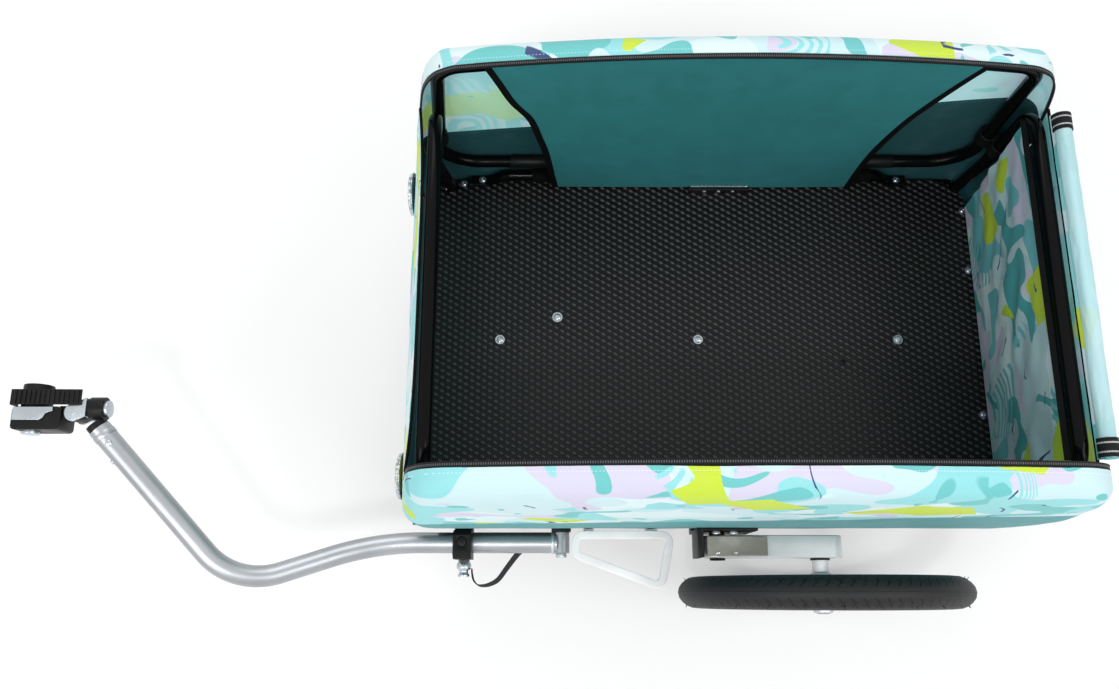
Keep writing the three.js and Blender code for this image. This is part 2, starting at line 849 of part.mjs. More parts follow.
// The roof cover is rolled up at the rear: a spiral of cloth whose free edge shows
function makeRoll() {
  const sides = 14;
  const stations = 8;
  const rings = [];
  for (let station = 0; station <= stations; station += 1) {
    const share = station / stations;
    const y = rollHalfLength * (2 * share - 1);
    const swell = 1 - 0.05 * Math.cos(share * Math.PI * 6) ** 2;
    const ring = [];
    for (let side = 0; side < sides; side += 1) {
      const angle = side / sides * Math.PI * 2;
      const radius = (rollRadius - rollFlap * side / sides) * swell;
      ring.push(new THREE.Vector3(
        rollX + Math.cos(angle) * radius,
        y,
        rollZ + Math.sin(angle) * radius,
      ));
    }
    rings.push(ring);
  }
  add('rolled_cover', loft(rings), paleFabric);
}

function makeRollStraps() {
  const inner = rollRadius + gap + seamFillet / 10;
  const outer = inner + strapThickness;
  const half = strapWidth / 2;
  const ring = revolve([[inner, -half], [outer, -half], [outer, half], [inner, half], [inner, -half]], 20);
  addPair('roll_strap', ring.translate(rollX, strapPlace, rollZ), blackWebbing);
}

function makeReflectors() {
  const lensRadius = reflectorRadius * 0.9;
  const profile = [
    [0, 0],
    [reflectorRadius, 0],
    [reflectorRadius, reflectorBase],
    [lensRadius, reflectorBase],
    [lensRadius * 0.9, reflectorBase + reflectorLens * 0.75],
    [lensRadius * 0.5, reflectorBase + reflectorLens],
    [0, reflectorBase + reflectorLens],
  ];
  const disc = revolve(profile, 20).rotateZ(-Math.PI / 2);
  addPair('front_reflector', disc.translate(coverFront + gap, reflectorPlace, reflectorHeight), clearLens);
}

// Wheels

// Tyre section: share of the depth from rim to tread, share of the half width
const tyreShares = [[0, 0.42], [0.25, 0.88], [0.55, 0.98], [0.87, 0.64]];

function makeTyre() {
  const bead = rimOuterRadius + gap;
  const depth = wheelRadius - bead;
  const side = tyreShares.map(([up, out]) => [bead + depth * up, out * tyreWidth / 2]);
  const profile = [
    ...side.map(([radius, y]) => [radius, -y]),
    [wheelRadius, 0],
    ...side.slice().reverse(),
    [bead, -side[0][1]],
  ];
  return revolve(profile, wheelSegments).translate(0, halfTrack, wheelRadius);
}

function makeRim() {
  const half = rimWidth / 2;
  const spine = rimSpineWidth / 2;
  const waist = (rimOuterRadius + rimInnerRadius) / 2;
  const profile = [
    [rimOuterRadius, -half],
    [rimOuterRadius, half],
    [waist, half],
    [rimInnerRadius, spine],
    [rimInnerRadius, -spine],
    [waist, -half],
    [rimOuterRadius, -half],
  ];
  return revolve(profile, wheelSegments).translate(0, halfTrack, wheelRadius);
}

function makeHub() {
  const end = hubHalfLength;
  const cap = hubHalfLength + hubCapLength;
  const pocket = cap - buttonPocketDepth;
  const hub = revolve([
    [axleBore, -end],
    [hubEndRadius, -end],
    [hubEndRadius, -flangeOuter],
    [flangeRadius, -flangeOuter],
    [flangeRadius, -flangeInner],
    [hubBarrelRadius, -hubBarrelRadius],
    [hubBarrelRadius, hubBarrelRadius],
    [flangeRadius, flangeInner],
    [flangeRadius, flangeOuter],
    [hubEndRadius, flangeOuter],
    [hubEndRadius, cap],
    [buttonBore, cap],
    [buttonBore, pocket],
    [axleBore, pocket],
    [axleBore, -end],
  ], hubSegments);
  const spokes = Array.from({ length: spokeCount }, (_, place) => {
    const angle = place / spokeCount * Math.PI * 2;
    const side = place % 2 === 0 ? 1 : -1;
    const lean = Math.floor(place / 2) % 2 === 0 ? spokeSpread : -spokeSpread;
    const root = new THREE.Vector3(
      Math.sin(angle + lean) * spokeHoleRadius,
      side * (flangeInner + flangeOuter) / 2,
      Math.cos(angle + lean) * spokeHoleRadius,
    );
    const reach = rimInnerRadius * Math.cos(Math.PI / wheelSegments) - gap - seamFillet / 10;
    const tip = new THREE.Vector3(Math.sin(angle) * reach, side * spokeRadius, Math.cos(angle) * reach);
    return rodBetween(spokeRadius, root, tip, 4);
  });
  return joined(hub, ...spokes).translate(0, halfTrack, wheelRadius);
}

function makeWheels() {
  addPair('tyre', makeTyre(), rubber);
  addPair('rim', makeRim(), satinAluminium);
  addPair('hub_and_spokes', makeHub(), satinAluminium);
  const face = halfTrack + hubHalfLength + hubCapLength + buttonProud;
  const button = rodAlongY(buttonRadius, 0, wheelRadius, face - buttonLength, face, 14);
  addPair('wheel_button', button, blackPlastic);
}

// Suspension: a trailing arm on a pin, with an elastomer block that meets the bracket's front web

function stadium(x0, x1, z, radius) {
  const shape = new THREE.Shape();
  shape.moveTo(x0, z - radius);
  shape.lineTo(x1, z - radius);
  shape.absarc(x1, z, radius, -Math.PI / 2, Math.PI / 2, false);
  shape.lineTo(x0, z + radius);
  shape.absarc(x0, z, radius, Math.PI / 2, Math.PI * 1.5, false);
  return shape;
}

function makeArm() {
  const inner = armCentreY - armWidth / 2;
  const outer = armCentreY + armWidth / 2;
  const beam = alongY(stadium(armTailX, armPivotX, wheelRadius, armHeight / 2), inner, outer);
  const stub = rodAlongY(stubRadius, 0, wheelRadius, armCentreY, stubEnd, 18);
  const pocket = halfTrack + hubHalfLength + hubCapLength - buttonPocketDepth;
  const axle = rodAlongY(axleRadius, 0, wheelRadius, armCentreY, pocket, 16);
  const bore = rodAlongY(pivotPinRadius + runningGap, armPivotX, wheelRadius, inner - overrun, outer + overrun, 18);
  return cut(joined(beam, stub, axle), bore);
}

function hangerOutline(top) {
  return outlineOf([
    [railOuterFace + gap, railBottom],
    [hangerOuter, railBottom],
    [hangerOuter, top],
    [hangerInner, top],
    [hangerInner, hangerShoulder],
    [railOuterFace + gap, hangerShoulder],
  ]);
}

function makeSuspensionBracket() {
  const outer = armCentreY + armWidth / 2;
  const cheek = alongX(hangerOutline(bracketTop), bracketRear, bracketFront);
  const web = block([bracketFront - bracketWeb, bracketFront], [hangerInner, outer], [bracketWebBottom, bracketTop]);
  const boss = rodAlongY(pivotHeadRadius, armPivotX, wheelRadius, hangerOuter - seamFillet,
    armCentreY - armWidth / 2 - gap, 16);
  const pin = rodAlongY(pivotPinRadius, armPivotX, wheelRadius, hangerOuter, outer + seamFillet, 16);
  const head = rodAlongY(pivotHeadRadius, armPivotX, wheelRadius, outer + gap,
    outer + gap + pivotHeadThickness, 16);
  return joined(cheek, web, boss, pin, head);
}

function makeSuspensionBlock() {
  const seat = wheelRadius + armHeight / 2 + gap;
  const outline = outlineOf([
    [blockRear, seat],
    [blockFront, seat],
    [blockFront, seat + blockHeight],
    [blockBreak, seat + blockHeight],
    [blockRear, seat + blockTail],
  ]);
  return alongY(outline, armCentreY - blockWidth / 2, armCentreY + blockWidth / 2);
}

function makeSuspension() {
  addPair('swing_arm', makeArm(), satinAluminium);
  addPair('suspension_bracket', makeSuspensionBracket(), blackPlastic);
  addPair('suspension_block', makeSuspensionBlock(), elastomer);
}

// A flat bar loop ahead of each wheel keeps posts and legs away from it
function makeGuards() {
  const corners = [
    [guardFront, guardInnerY], [guardRear, guardInnerY], [guardTailX, guardTailY], [guardFront, guardNoseY],
  ].map(([x, y]) => new THREE.Vector3(x, y, guardHeight));
  const path = bentPath(corners, corners.map(() => guardBend), 4, true);
  const loop = sweep(path, flatSection(guardThickness, guardBand), upwards, { loop: true });
  const feet = [guardFootFront, guardFootRear].map((x) => alongX(
    hangerOutline(guardHeight),
    x - guardFootWidth / 2,
    x + guardFootWidth / 2,
  ));
  addPair('wheel_guard', joined(loop, ...feet), whiteBar);
}

// Drawbar with its pivot and lock

function drawbarPath() {
  const corners = [
    new THREE.Vector3(pivotX + seamFillet, drawbarY, drawbarZ),
    new THREE.Vector3(firstBendX, drawbarY, drawbarZ),
    new THREE.Vector3(secondBendX, secondBendY, secondBendZ),
    new THREE.Vector3(drawbarEndX, drawbarEndY, drawbarEndZ),
  ];
  return bentPath(corners, [0, firstBendRadius, secondBendRadius, 0], 7);
}

function makeDrawbar() {
  const sleeveLow = drawbarY - drawbarRadius;
  const sleeveHigh = drawbarY + drawbarRadius;
  const tube = sweep(drawbarPath(), roundSection(drawbarRadius, drawbarSides), upwards);
  const trimmed = cut(tube, block(
    [pivotX - sleeveRadius * 2, pivotX + sleeveRadius / 2],
    [sleeveLow - overrun, sleeveHigh + overrun],
    [drawbarZ - drawbarRadius - overrun, drawbarZ + drawbarRadius + overrun],
  ));
  const sleeve = rodAlongY(sleeveRadius, pivotX, drawbarZ, sleeveLow, sleeveHigh, 18);
  const bolt = rodAlongY(pivotBoltRadius + runningGap, pivotX, drawbarZ, sleeveLow - overrun, sleeveHigh + overrun, 14);
  const pin = rodAlongY(lockPinRadius + runningGap, lockX, drawbarZ, sleeveLow - overrun, sleeveHigh + overrun, 12);
  add('drawbar', cut(joined(trimmed, sleeve), bolt, pin), satinAluminium);
}

function makeDrawbarPivot() {
  const face = railOuterFace + gap;
  const outer = drawbarY - drawbarRadius - gap;
  const high = railBottom + railWidth;
  const body = block([pivotX - pivotBlockLength / 2, pivotX + pivotBlockLength / 2], [face, outer], [railBottom, high]);
  const hole = rodAlongY(pivotBoltRadius + gap, pivotX, drawbarZ, face - overrun, outer + overrun, 14);
  add('drawbar_pivot_bracket', cut(body, hole), blackPlastic);
  const nutFace = drawbarY + drawbarRadius + gap;
  const shank = rodAlongY(pivotBoltRadius, pivotX, drawbarZ, face + gap, nutFace + seamFillet, 14);
  const nut = rodAlongY(pivotNutRadius, pivotX, drawbarZ, nutFace, nutFace + pivotNutLength, 6);
  add('drawbar_pivot_bolt', joined(shank, nut), zincPlate);
}

// The lock bracket is a saddle, open below, that the drawbar swings up into
function makeLock() {
  const arch = drawbarRadius + runningGap;
  const innerWall = drawbarY - arch;
  const outerWall = drawbarY + arch;
  const shape = new THREE.Shape();
  shape.moveTo(railOuterFace + gap, lockBottom);
  shape.lineTo(innerWall, lockBottom);
  shape.lineTo(innerWall, drawbarZ);
  shape.absarc(drawbarY, drawbarZ, arch, Math.PI, 0, true);
  shape.lineTo(outerWall, lockBottom);
  shape.lineTo(outerWall + lockWall, lockBottom);
  shape.lineTo(outerWall + lockWall, lockTop - lockChamfer);
  shape.lineTo(outerWall + lockWall - lockChamfer, lockTop);
  shape.lineTo(hangerInner + lockChamfer, lockTop);
  shape.lineTo(hangerInner, lockTop - lockChamfer);
  shape.lineTo(hangerInner, hangerShoulder);
  shape.lineTo(railOuterFace + gap, hangerShoulder);
  const low = lockX - lockLength / 2;
  const body = alongX(shape, low, low + lockLength);
  const pinHole = rodAlongY(lockPinRadius + runningGap, lockX, drawbarZ, railOuterFace, outerWall + lockWall + overrun, 12);
  const buttonHole = rodAlongZ(lockButtonRadius + runningGap, lockX, drawbarY, lockTop - lockButtonDepth,
    lockTop + overrun, 16);
  add('drawbar_lock_bracket', cut(body, pinHole, buttonHole), blackPlastic);
  const buttonTop = lockTop + lockButtonProud;
  const button = rodAlongZ(lockButtonRadius, lockX, drawbarY, buttonTop - lockButtonLength, buttonTop, 16);
  add('lock_button', button, blackPlastic);
  makeLockPin(outerWall + lockWall + gap);
}

function makeLockPin(face) {
  const knobShares = [[0.8, 0], [0.8, 0.12], [1, 0.25], [1, 0.5], [0.62, 0.66], [0.62, 0.78], [0.8, 0.86], [0.8, 1]];
  const profile = knobShares.map(([out, along]) => [out * lockKnobRadius, along * lockKnobLength]);
  const knob = revolve([[0, 0], ...profile, [0, lockKnobLength]], 16).translate(lockX, face, drawbarZ);
  const shank = rodAlongY(lockPinRadius, lockX, drawbarZ, railOuterFace + 2 * gap, face + seamFillet, 12);
  add('lock_pin', joined(shank, knob), zincPlate);
  makeLanyard(face + lockKnobLength);
}

// Webbing from beside the pin's knob out, back and under the drawbar.
// Each point: shares of the reach rearwards, outwards and downwards.
const lanyardShares = [
  [0, -1, 0], [0.01, -0.35, 0], [0.04, 0.35, 0], [0.11, 0.85, 0.02], [0.2, 1, 0.08], [0.34, 0.86, 0.2],
  [0.5, 0.3, 0.45],
  [0.64, -0.9, 0.78], [0.78, -2.1, 0.98], [0.9, -3, 1], [1, -3.6, 1],
];

function makeLanyard(knobEnd) {
  const rearwards = 75;
  const outwards = 12;
  const besideKnob = lockX - lockKnobRadius - gap - lanyardThickness / 2;
  const drop = drawbarRadius + lanyardWidth / 2 + seamFillet;
  const start = knobEnd + gap;
  const points = lanyardShares.map(([back, out, down]) => new THREE.Vector3(
    besideKnob - rearwards * back,
    start + outwards * out,
    drawbarZ - drop * down,
  ));
  const path = new THREE.CatmullRomCurve3(points).getPoints(14);
  add('pin_lanyard', sweep(path, flatSection(lanyardWidth, lanyardThickness), upwards), greyWebbing);
}

// Hitch: a swivel about the travel direction, then an upright hinge, then the coupling head

function makeHitchFork() {
  const end = new THREE.Vector3(drawbarEndX, drawbarEndY, drawbarEndZ);
  const before = new THREE.Vector3(secondBendX, secondBendY, secondBendZ);
  const direction = end.clone().sub(before).normalize();
  const neckStart = end.clone().addScaledVector(direction, gap);
  const neckEnd = end.clone().addScaledVector(direction, neckLength);
  const neck = rodBetween(neckRadius, neckStart, neckEnd, 16);
  const boss = rodAlongX(swivelBossRadius, swivelY, swivelZ, swivelBossRear, swivelBossFront, 20);
  const bore = rodAlongX(swivelShaftRadius + runningGap, swivelY, swivelZ,
    swivelBossRear - overrun, swivelBossFront + overrun, 14);
  add('hitch_fork', cut(joined(neck, boss), bore), blackPlastic);
}

function lugOutline() {
  const shape = new THREE.Shape();
  const rear = swivelBossFront + seamFillet;
  shape.moveTo(rear, swivelY - lugRadius);
  shape.lineTo(lugX, lugY - lugRadius);
  shape.absarc(lugX, lugY, lugRadius, -Math.PI / 2, Math.PI / 2, false);
  shape.lineTo(rear, swivelY + lugRadius);
  return shape;
}

function makeHitchBracket() {
  const rear = swivelBossFront + seamFillet;
  const low = swivelZ - lugHalfOpening;
  const high = swivelZ + lugHalfOpening;
  const web = block([rear, rear + lugPlate], [swivelY - lugRadius, swivelY + lugRadius],
    [low - lugPlate, high + lugPlate]);
  const shaft = rodAlongX(swivelShaftRadius, swivelY, swivelZ, swivelBossRear - seamFillet, rear + seamFillet, 14);
  const discFace = swivelBossRear - gap;
  const disc = rodAlongX(swivelDiscRadius, swivelY, swivelZ, discFace - swivelDiscThickness, discFace, 18);
  const rivet = rodAlongZ(rivetRadius, lugX, lugY, low - lugPlate - seamFillet, high + lugPlate + seamFillet, 12);
  const lower = alongZ(lugOutline(), low - lugPlate, low);
  const upper = alongZ(lugOutline(), high, high + lugPlate);
  add('hitch_bracket', joined(web, shaft, disc, lower, upper, rivet), zincPlate);
}

function makeHitchHead() {
  const low = swivelZ - headHalfHeight;
  const high = swivelZ + headHalfHeight;
  const eyeLow = swivelZ - lugHalfOpening + gap;
  const eyeHigh = swivelZ + lugHalfOpening - gap;
  const body = alongZ(roundedPlate(headRear, headFront, headInner, headOuter, headCorner), low, high);
  const cup = rodAlongY(cupRadius, cupX, swivelZ, cupFace, headInner + headCorner, 18);
  const eye = rodAlongZ(lugRadius - seamFillet, lugX, lugY, eyeLow, eyeHigh, 14);
  const neckHalf = lugRadius * 0.7;
  const neck = block([lugX, headRear + headCorner], [lugY - neckHalf, lugY + neckHalf], [eyeLow, eyeHigh]);
  const socket = rodAlongY(cupBore, cupX, swivelZ, cupFace - overrun, cupFace + cupBoreDepth, 14);
  const rivet = rodAlongZ(rivetRadius + runningGap, lugX, lugY, low, high, 14);
  const pocket = rodAlongY(hitchButtonRadius + runningGap, hitchButtonX, swivelZ,
    headOuter - hitchButtonDepth, headOuter + overrun, 16);
  add('hitch_head', cut(joined(body, cup, eye, neck), socket, rivet, pocket), blackPlastic);
  const face = headOuter + hitchButtonProud;
  const button = rodAlongY(hitchButtonRadius, hitchButtonX, swivelZ, face - hitchButtonLength, face, 16);
  add('hitch_button', button, zincPlate);
  makeHitchTrim(high);
}

function makeHitchTrim(top) {
  const seat = top + gap;
  const length = headFront - headRear;
  const width = headOuter - headInner;
  const plateShares = [
    [0.16, 0.03], [0.97, 0.03], [0.97, 0.6], [0.42, 0.6], [0.34, 0.5], [0.3, 0.32], [0.22, 0.24], [0.16, 0.22],
  ];
  const outline = outlineOf(plateShares.map(([x, y]) => [headRear + length * x, headInner + width * y]));
  add('hitch_cover_plate', alongZ(outline, seat, seat + coverPlateThickness), zincPlate);
  const crest = swivelZ + cupRadius + gap + hitchStrapThickness / 2;
  const rearDrop = headHalfHeight / 10;
  const corners = [
    [hitchStrapRear, crest - rearDrop],
    [cupX - cupRadius, crest],
    [hitchStrapFront, crest],
    [hitchStrapFront, crest - hitchStrapDrop],
  ].map(([x, z]) => new THREE.Vector3(x, hitchStrapY, z));
  const path = bentPath(corners, [0, headCorner * 3, headCorner / 2, 0], 4);
  add('hitch_strap', sweep(path, flatSection(hitchStrapWidth, hitchStrapThickness), sideways), blackWebbing);
  const buckleTop = crest - hitchStrapDrop - gap - buckleWire / 2;
  const half = buckleWidth / 2;
  const loop = [
    [hitchStrapY - half, buckleTop], [hitchStrapY + half, buckleTop],
    [hitchStrapY + half, buckleTop - buckleDepth], [hitchStrapY - half, buckleTop - buckleDepth],
  ].map(([y, z]) => new THREE.Vector3(hitchStrapFront, y, z));
  const wire = bentPath(loop, loop.map(() => buckleWire), 2, true);
  add('strap_buckle', sweep(wire, roundSection(buckleWire / 2, buckleSides), forwards, { loop: true }), zincPlate);
}

makeFloor();
makeFrame();
makeSideRails();
makeHoops();
makeClamps();
makeSideCovers();
makeEndCover('front_cover', 'front', frontCoverTop, -1);
makeEndCover('rear_cover', 'rear', rearCoverTop, 1);
makeZips();
makeInnerSidePanels();
makeInnerRearPanel();
makeRoll();
makeRollStraps();
makeReflectors();
makeWheels();
makeSuspension();
makeGuards();
makeDrawbar();
makeDrawbarPivot();
makeLock();
makeHitchFork();
makeHitchBracket();
makeHitchHead();

// The part's origin is the middle of its outline, on the ground
const outlineBox = new THREE.Box3().setFromObject(trailer);
trailer.position.x = -(outlineBox.min.x + outlineBox.max.x) / 2;

export default trailer;
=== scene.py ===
"""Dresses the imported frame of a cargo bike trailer: cloth tub, running gear, drawbar and hitch."""

from __future__ import annotations

import json
import logging
import math
from collections.abc import Callable, Sequence
from dataclasses import dataclass, field
from enum import Enum
from typing import Any, Protocol

import bpy
from mathutils import Matrix, Vector, noise

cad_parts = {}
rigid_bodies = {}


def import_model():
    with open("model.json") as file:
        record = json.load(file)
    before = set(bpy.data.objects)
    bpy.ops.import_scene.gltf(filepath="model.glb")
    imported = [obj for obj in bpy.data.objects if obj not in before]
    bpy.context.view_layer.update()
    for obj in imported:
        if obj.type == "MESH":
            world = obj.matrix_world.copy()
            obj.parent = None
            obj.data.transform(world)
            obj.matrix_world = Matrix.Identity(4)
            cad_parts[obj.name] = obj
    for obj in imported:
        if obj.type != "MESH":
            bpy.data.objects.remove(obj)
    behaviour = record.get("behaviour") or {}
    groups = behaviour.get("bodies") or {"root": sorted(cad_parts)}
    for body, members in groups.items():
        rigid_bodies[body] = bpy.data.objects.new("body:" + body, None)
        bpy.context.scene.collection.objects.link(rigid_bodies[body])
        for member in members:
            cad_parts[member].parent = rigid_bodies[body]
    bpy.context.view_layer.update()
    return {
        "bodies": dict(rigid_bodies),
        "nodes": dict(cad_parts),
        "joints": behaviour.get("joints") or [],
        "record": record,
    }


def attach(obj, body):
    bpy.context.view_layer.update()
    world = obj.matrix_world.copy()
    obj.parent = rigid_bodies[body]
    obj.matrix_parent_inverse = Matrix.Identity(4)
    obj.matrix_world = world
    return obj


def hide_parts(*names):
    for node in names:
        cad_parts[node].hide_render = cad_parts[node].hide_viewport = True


LOG = logging.getLogger("trailer")

MM = 0.001
AXLE = -412.625
"""Where the axle stands along the part, in millimetres from its origin."""
WELD = 0.00001
"""Points of a mesh that are closer than this, in metres, become one."""

Piece = bpy.types.Object
Material = bpy.types.Material
Triple = tuple[float, float, float]
Frame = dict[str, Any]

FORWARDS = Vector((1, 0, 0))
SIDEWAYS = Vector((0, 1, 0))
UPWARDS = Vector((0, 0, 1))


class Side(Enum):
    """The trailer's two sides, with the sign of their place across it."""

    LEFT = ("left", 1)
    RIGHT = ("right", -1)

    @property
    def word(self) -> str:
        """The side's word in node and body names."""
        return self.value[0]

    @property
    def sign(self) -> int:
        """Plus one on the left, minus one on the right."""
        return self.value[1]


class Slot(Enum):
    """Material slots of the record."""

    TUBE = "black_tube"
    PLASTIC = "black_plastic"
    FLOOR = "floor"
    ALUMINIUM = "satin_aluminium"
    ZINC = "zinc"
    PRINT = "printed_fabric"
    TEAL = "teal_fabric"
    WEBBING = "black_webbing"
    GREY_WEBBING = "grey_webbing"
    TYRE = "tyre_rubber"
    ELASTOMER = "elastomer"
    LENS = "lens"
    GUARD = "guard"


def spot(x: float, y: float, z: float) -> Vector:
    """A point of the part.

    Args:
        x: Millimetres ahead of the axle.
        y: Millimetres to the left of the middle.
        z: Millimetres above the ground.

    Returns:
        The point in metres, in the part's frame.
    """
    return Vector((x + AXLE, y, z)) * MM


# Finishes


class Value:
    """A shader socket that takes part in Python sums."""

    def __init__(self, graph: Graph, socket: bpy.types.NodeSocket) -> None:
        """Wraps a socket of a graph's node."""
        self.graph = graph
        self.socket = socket

    def _sum(self, operation: str, first: Any, second: Any = 0.0) -> Value:
        """Adds one Math node and returns its result."""
        return self.graph.node("ShaderNodeMath", {"operation": operation}, {0: first, 1: second})

    def __add__(self, other: Any) -> Value:
        """This value plus another."""
        return self._sum("ADD", self, other)

    __radd__ = __add__

    def __sub__(self, other: Any) -> Value:
        """This value less another."""
        return self._sum("SUBTRACT", self, other)

    def __rsub__(self, other: Any) -> Value:
        """Another value less this one."""
        return self._sum("SUBTRACT", other, self)

    def __mul__(self, other: Any) -> Value:
        """This value times another."""
        return self._sum("MULTIPLY", self, other)

    __rmul__ = __mul__

    def __truediv__(self, other: Any) -> Value:
        """This value divided by another."""
        return self._sum("DIVIDE", self, other)

    def __abs__(self) -> Value:
        """The size of this value, whatever its sign."""
        return self._sum("ABSOLUTE", self)

    def sine(self) -> Value:
        """The sine of this value, in radians."""
        return self._sum("SINE", self)

    def fraction(self) -> Value:
        """What follows the point of this value."""
        return self._sum("FRACT", self)

    def at_least(self, other: Any) -> Value:
        """The greater of this value and another."""
        return self._sum("MAXIMUM", self, other)

    def over(self, level: float, edge: float) -> Value:
        """A mask that is 1 where this value passes a level.

        Args:
            level: The value at the middle of the edge.
            edge: How much the value changes across the mask's edge.

        Returns:
            The mask, from 0 to 1.
        """
        inputs = {0: self, 1: level - edge / 2, 2: level + edge / 2}
        return self.graph.node("ShaderNodeMapRange", {"interpolation_type": "SMOOTHSTEP"}, inputs)

    def under(self, level: float, edge: float) -> Value:
        """The opposite mask, 1 where this value is below a level."""
        return 1 - self.over(level, edge)


class Graph:
    """The nodes of one material."""

    def __init__(self, name: str) -> None:
        """Starts a material with its Principled shader.

        Args:
            name: The material's name.
        """
        self.material = bpy.data.materials.new(name)
        self.material.use_nodes = True
        self.tree = self.material.node_tree
        self.shader = self.tree.nodes["Principled BSDF"]

    def feed(self, socket: bpy.types.NodeSocket, value: Any) -> None:
        """Links a value to a socket, or sets a plain number or colour on it.

        Args:
            socket: The socket.
            value: A value, a number or a colour.
        """
        if isinstance(value, Value):
            self.tree.links.new(value.socket, socket)
        elif isinstance(value, tuple) and len(value) == 3 and socket.type == "RGBA":
            socket.default_value = (*value, 1.0)
        else:
            socket.default_value = value

    def node(self, kind: str, settings: dict[str, Any], inputs: dict[Any, Any], output: Any = 0) -> Value:
        """Adds any node.

        Args:
            kind: The node's type.
            settings: Its settings, set first.
            inputs: Values or links of its sockets, by name or number.
            output: The socket to return, by name or number.

        Returns:
            That output's value.
        """
        made = self.tree.nodes.new(kind)
        for key, value in settings.items():
            setattr(made, key, value)
        for key, value in inputs.items():
            self.feed(made.inputs[key], value)
        return Value(self, made.outputs[output])

    def place(self) -> Value:
        """The point on the object, in metres, in the part's frame."""
        return self.node("ShaderNodeTexCoord", {}, {}, "Object")

    def lengthways(self) -> tuple[Value, Value]:
        """The piece's own map: along it, and across it."""
        along, across, _ = self.split(self.node("ShaderNodeTexCoord", {}, {}, "UV"))
        return along, across

    def split(self, vector: Value) -> tuple[Value, Value, Value]:
        """The three parts of a vector.

        Args:
            vector: The vector.

        Returns:
            Its x, its y and its z.
        """
        parts = self.tree.nodes.new("ShaderNodeSeparateXYZ")
        self.feed(parts.inputs[0], vector)
        first, second, third = (Value(self, output) for output in parts.outputs)
        return first, second, third

    def moved(self, vector: Value, shift: Triple, size: Triple = (1.0, 1.0, 1.0)) -> Value:
        """A vector shifted and stretched by a Mapping node."""
        return self.node("ShaderNodeMapping", {}, {"Vector": vector, "Location": shift, "Scale": size})

    def noise(self, vector: Value, scale: float, detail: float = 2.0, twist: float = 0.0) -> Value:
        """Cloudy noise from 0 to 1."""
        inputs = {"Vector": vector, "Scale": scale, "Detail": detail, "Distortion": twist}
        return self.node("ShaderNodeTexNoise", {}, inputs, "Fac")

    def mix(self, mask: Any, low: Any, high: Any) -> Value:
        """One colour where the mask is 0, and another where it is 1."""
        return self.node("ShaderNodeMix", {"data_type": "RGBA"}, {0: mask, 6: low, 7: high}, 2)

    def dress(
        self,
        color: Any,
        roughness: Any,
        height: Value | None = None,
        depth: float = 0.0002,
        **constants: float,
    ) -> Material:
        """Feeds the shader.

        Args:
            color: The base colour.
            roughness: How matt the surface is.
            height: A bump pattern from 0 to 1.
            depth: The bump's depth in metres.
            constants: Other shader sockets that are the same all over, with spaces written as underscores.

        Returns:
            The finished material.
        """
        self.feed(self.shader.inputs["Base Color"], color)
        self.feed(self.shader.inputs["Roughness"], roughness)
        for key, value in constants.items():
            self.shader.inputs[key.replace("_", " ")].default_value = value
        if height is not None:
            inputs = {"Height": height, "Distance": depth, "Strength": 1.0}
            self.feed(self.shader.inputs["Normal"], self.node("ShaderNodeBump", {}, inputs, "Normal"))
        return self.material


def tone(red: int, green: int, blue: int) -> Triple:
    """A colour as the renderer holds it.

    Args:
        red: Red as it looks on a screen, 0 to 255.
        green: Green in the same way.
        blue: Blue in the same way.

    Returns:
        The linear colour.
    """
    levels = (part / 255 for part in (red, green, blue))
    linear = [part / 12.92 if part <= 0.04045 else ((part + 0.055) / 1.055) ** 2.4 for part in levels]
    return linear[0], linear[1], linear[2]


@dataclass(frozen=True)
class Metal:
    """A plain, plated or painted metal with fine marks."""

    name: str
    color: Triple
    roughness: float
    metallic: float = 1.0
    grain: float = 0.06
    stretch: Triple = (1.0, 1.0, 1.0)
    coat: float = 0.0
    specular: float = 0.5

    def build(self) -> Material:
        """Makes the material.

        Returns:
            The material.
        """
        graph = Graph(self.name)
        place = graph.place()
        marks = graph.noise(graph.moved(place, (0.0, 0.0, 0.0), self.stretch), 260.0, 4.0)
        clouds = graph.noise(place, 18.0, 3.0)
        rough = self.roughness + (marks - 0.5) * self.grain * 2 + (clouds - 0.5) * self.grain
        dark = tuple(part * 0.86 for part in self.color)
        color = graph.mix(clouds.over(0.5, 0.5), dark, self.color)
        return graph.dress(color, rough, marks, 0.00001, Metallic=self.metallic, Coat_Weight=self.coat,
                           Specular_IOR_Level=self.specular)


@dataclass(frozen=True)
class Moulded:
    """Moulded plastic or rubber with a fine pebble grain."""

    name: str
    color: Triple
    roughness: float
    grain: float = 0.00006
    scale: float = 900.0

    def build(self) -> Material:
        """Makes the material.

        Returns:
            The material.
        """
        graph = Graph(self.name)
        place = graph.place()
        cells = {"Vector": place, "Scale": self.scale}
        pebbles = graph.node("ShaderNodeTexVoronoi", {}, cells, "Distance")
        scuffs = graph.noise(place, 35.0, 4.0)
        light = tuple(min(part * 1.5 + 0.004, 1.0) for part in self.color)
        color = graph.mix(scuffs.over(0.62, 0.3), self.color, light)
        rough = self.roughness + (scuffs - 0.5) * 0.16
        return graph.dress(color, rough, pebbles, self.grain, Specular_IOR_Level=0.2)


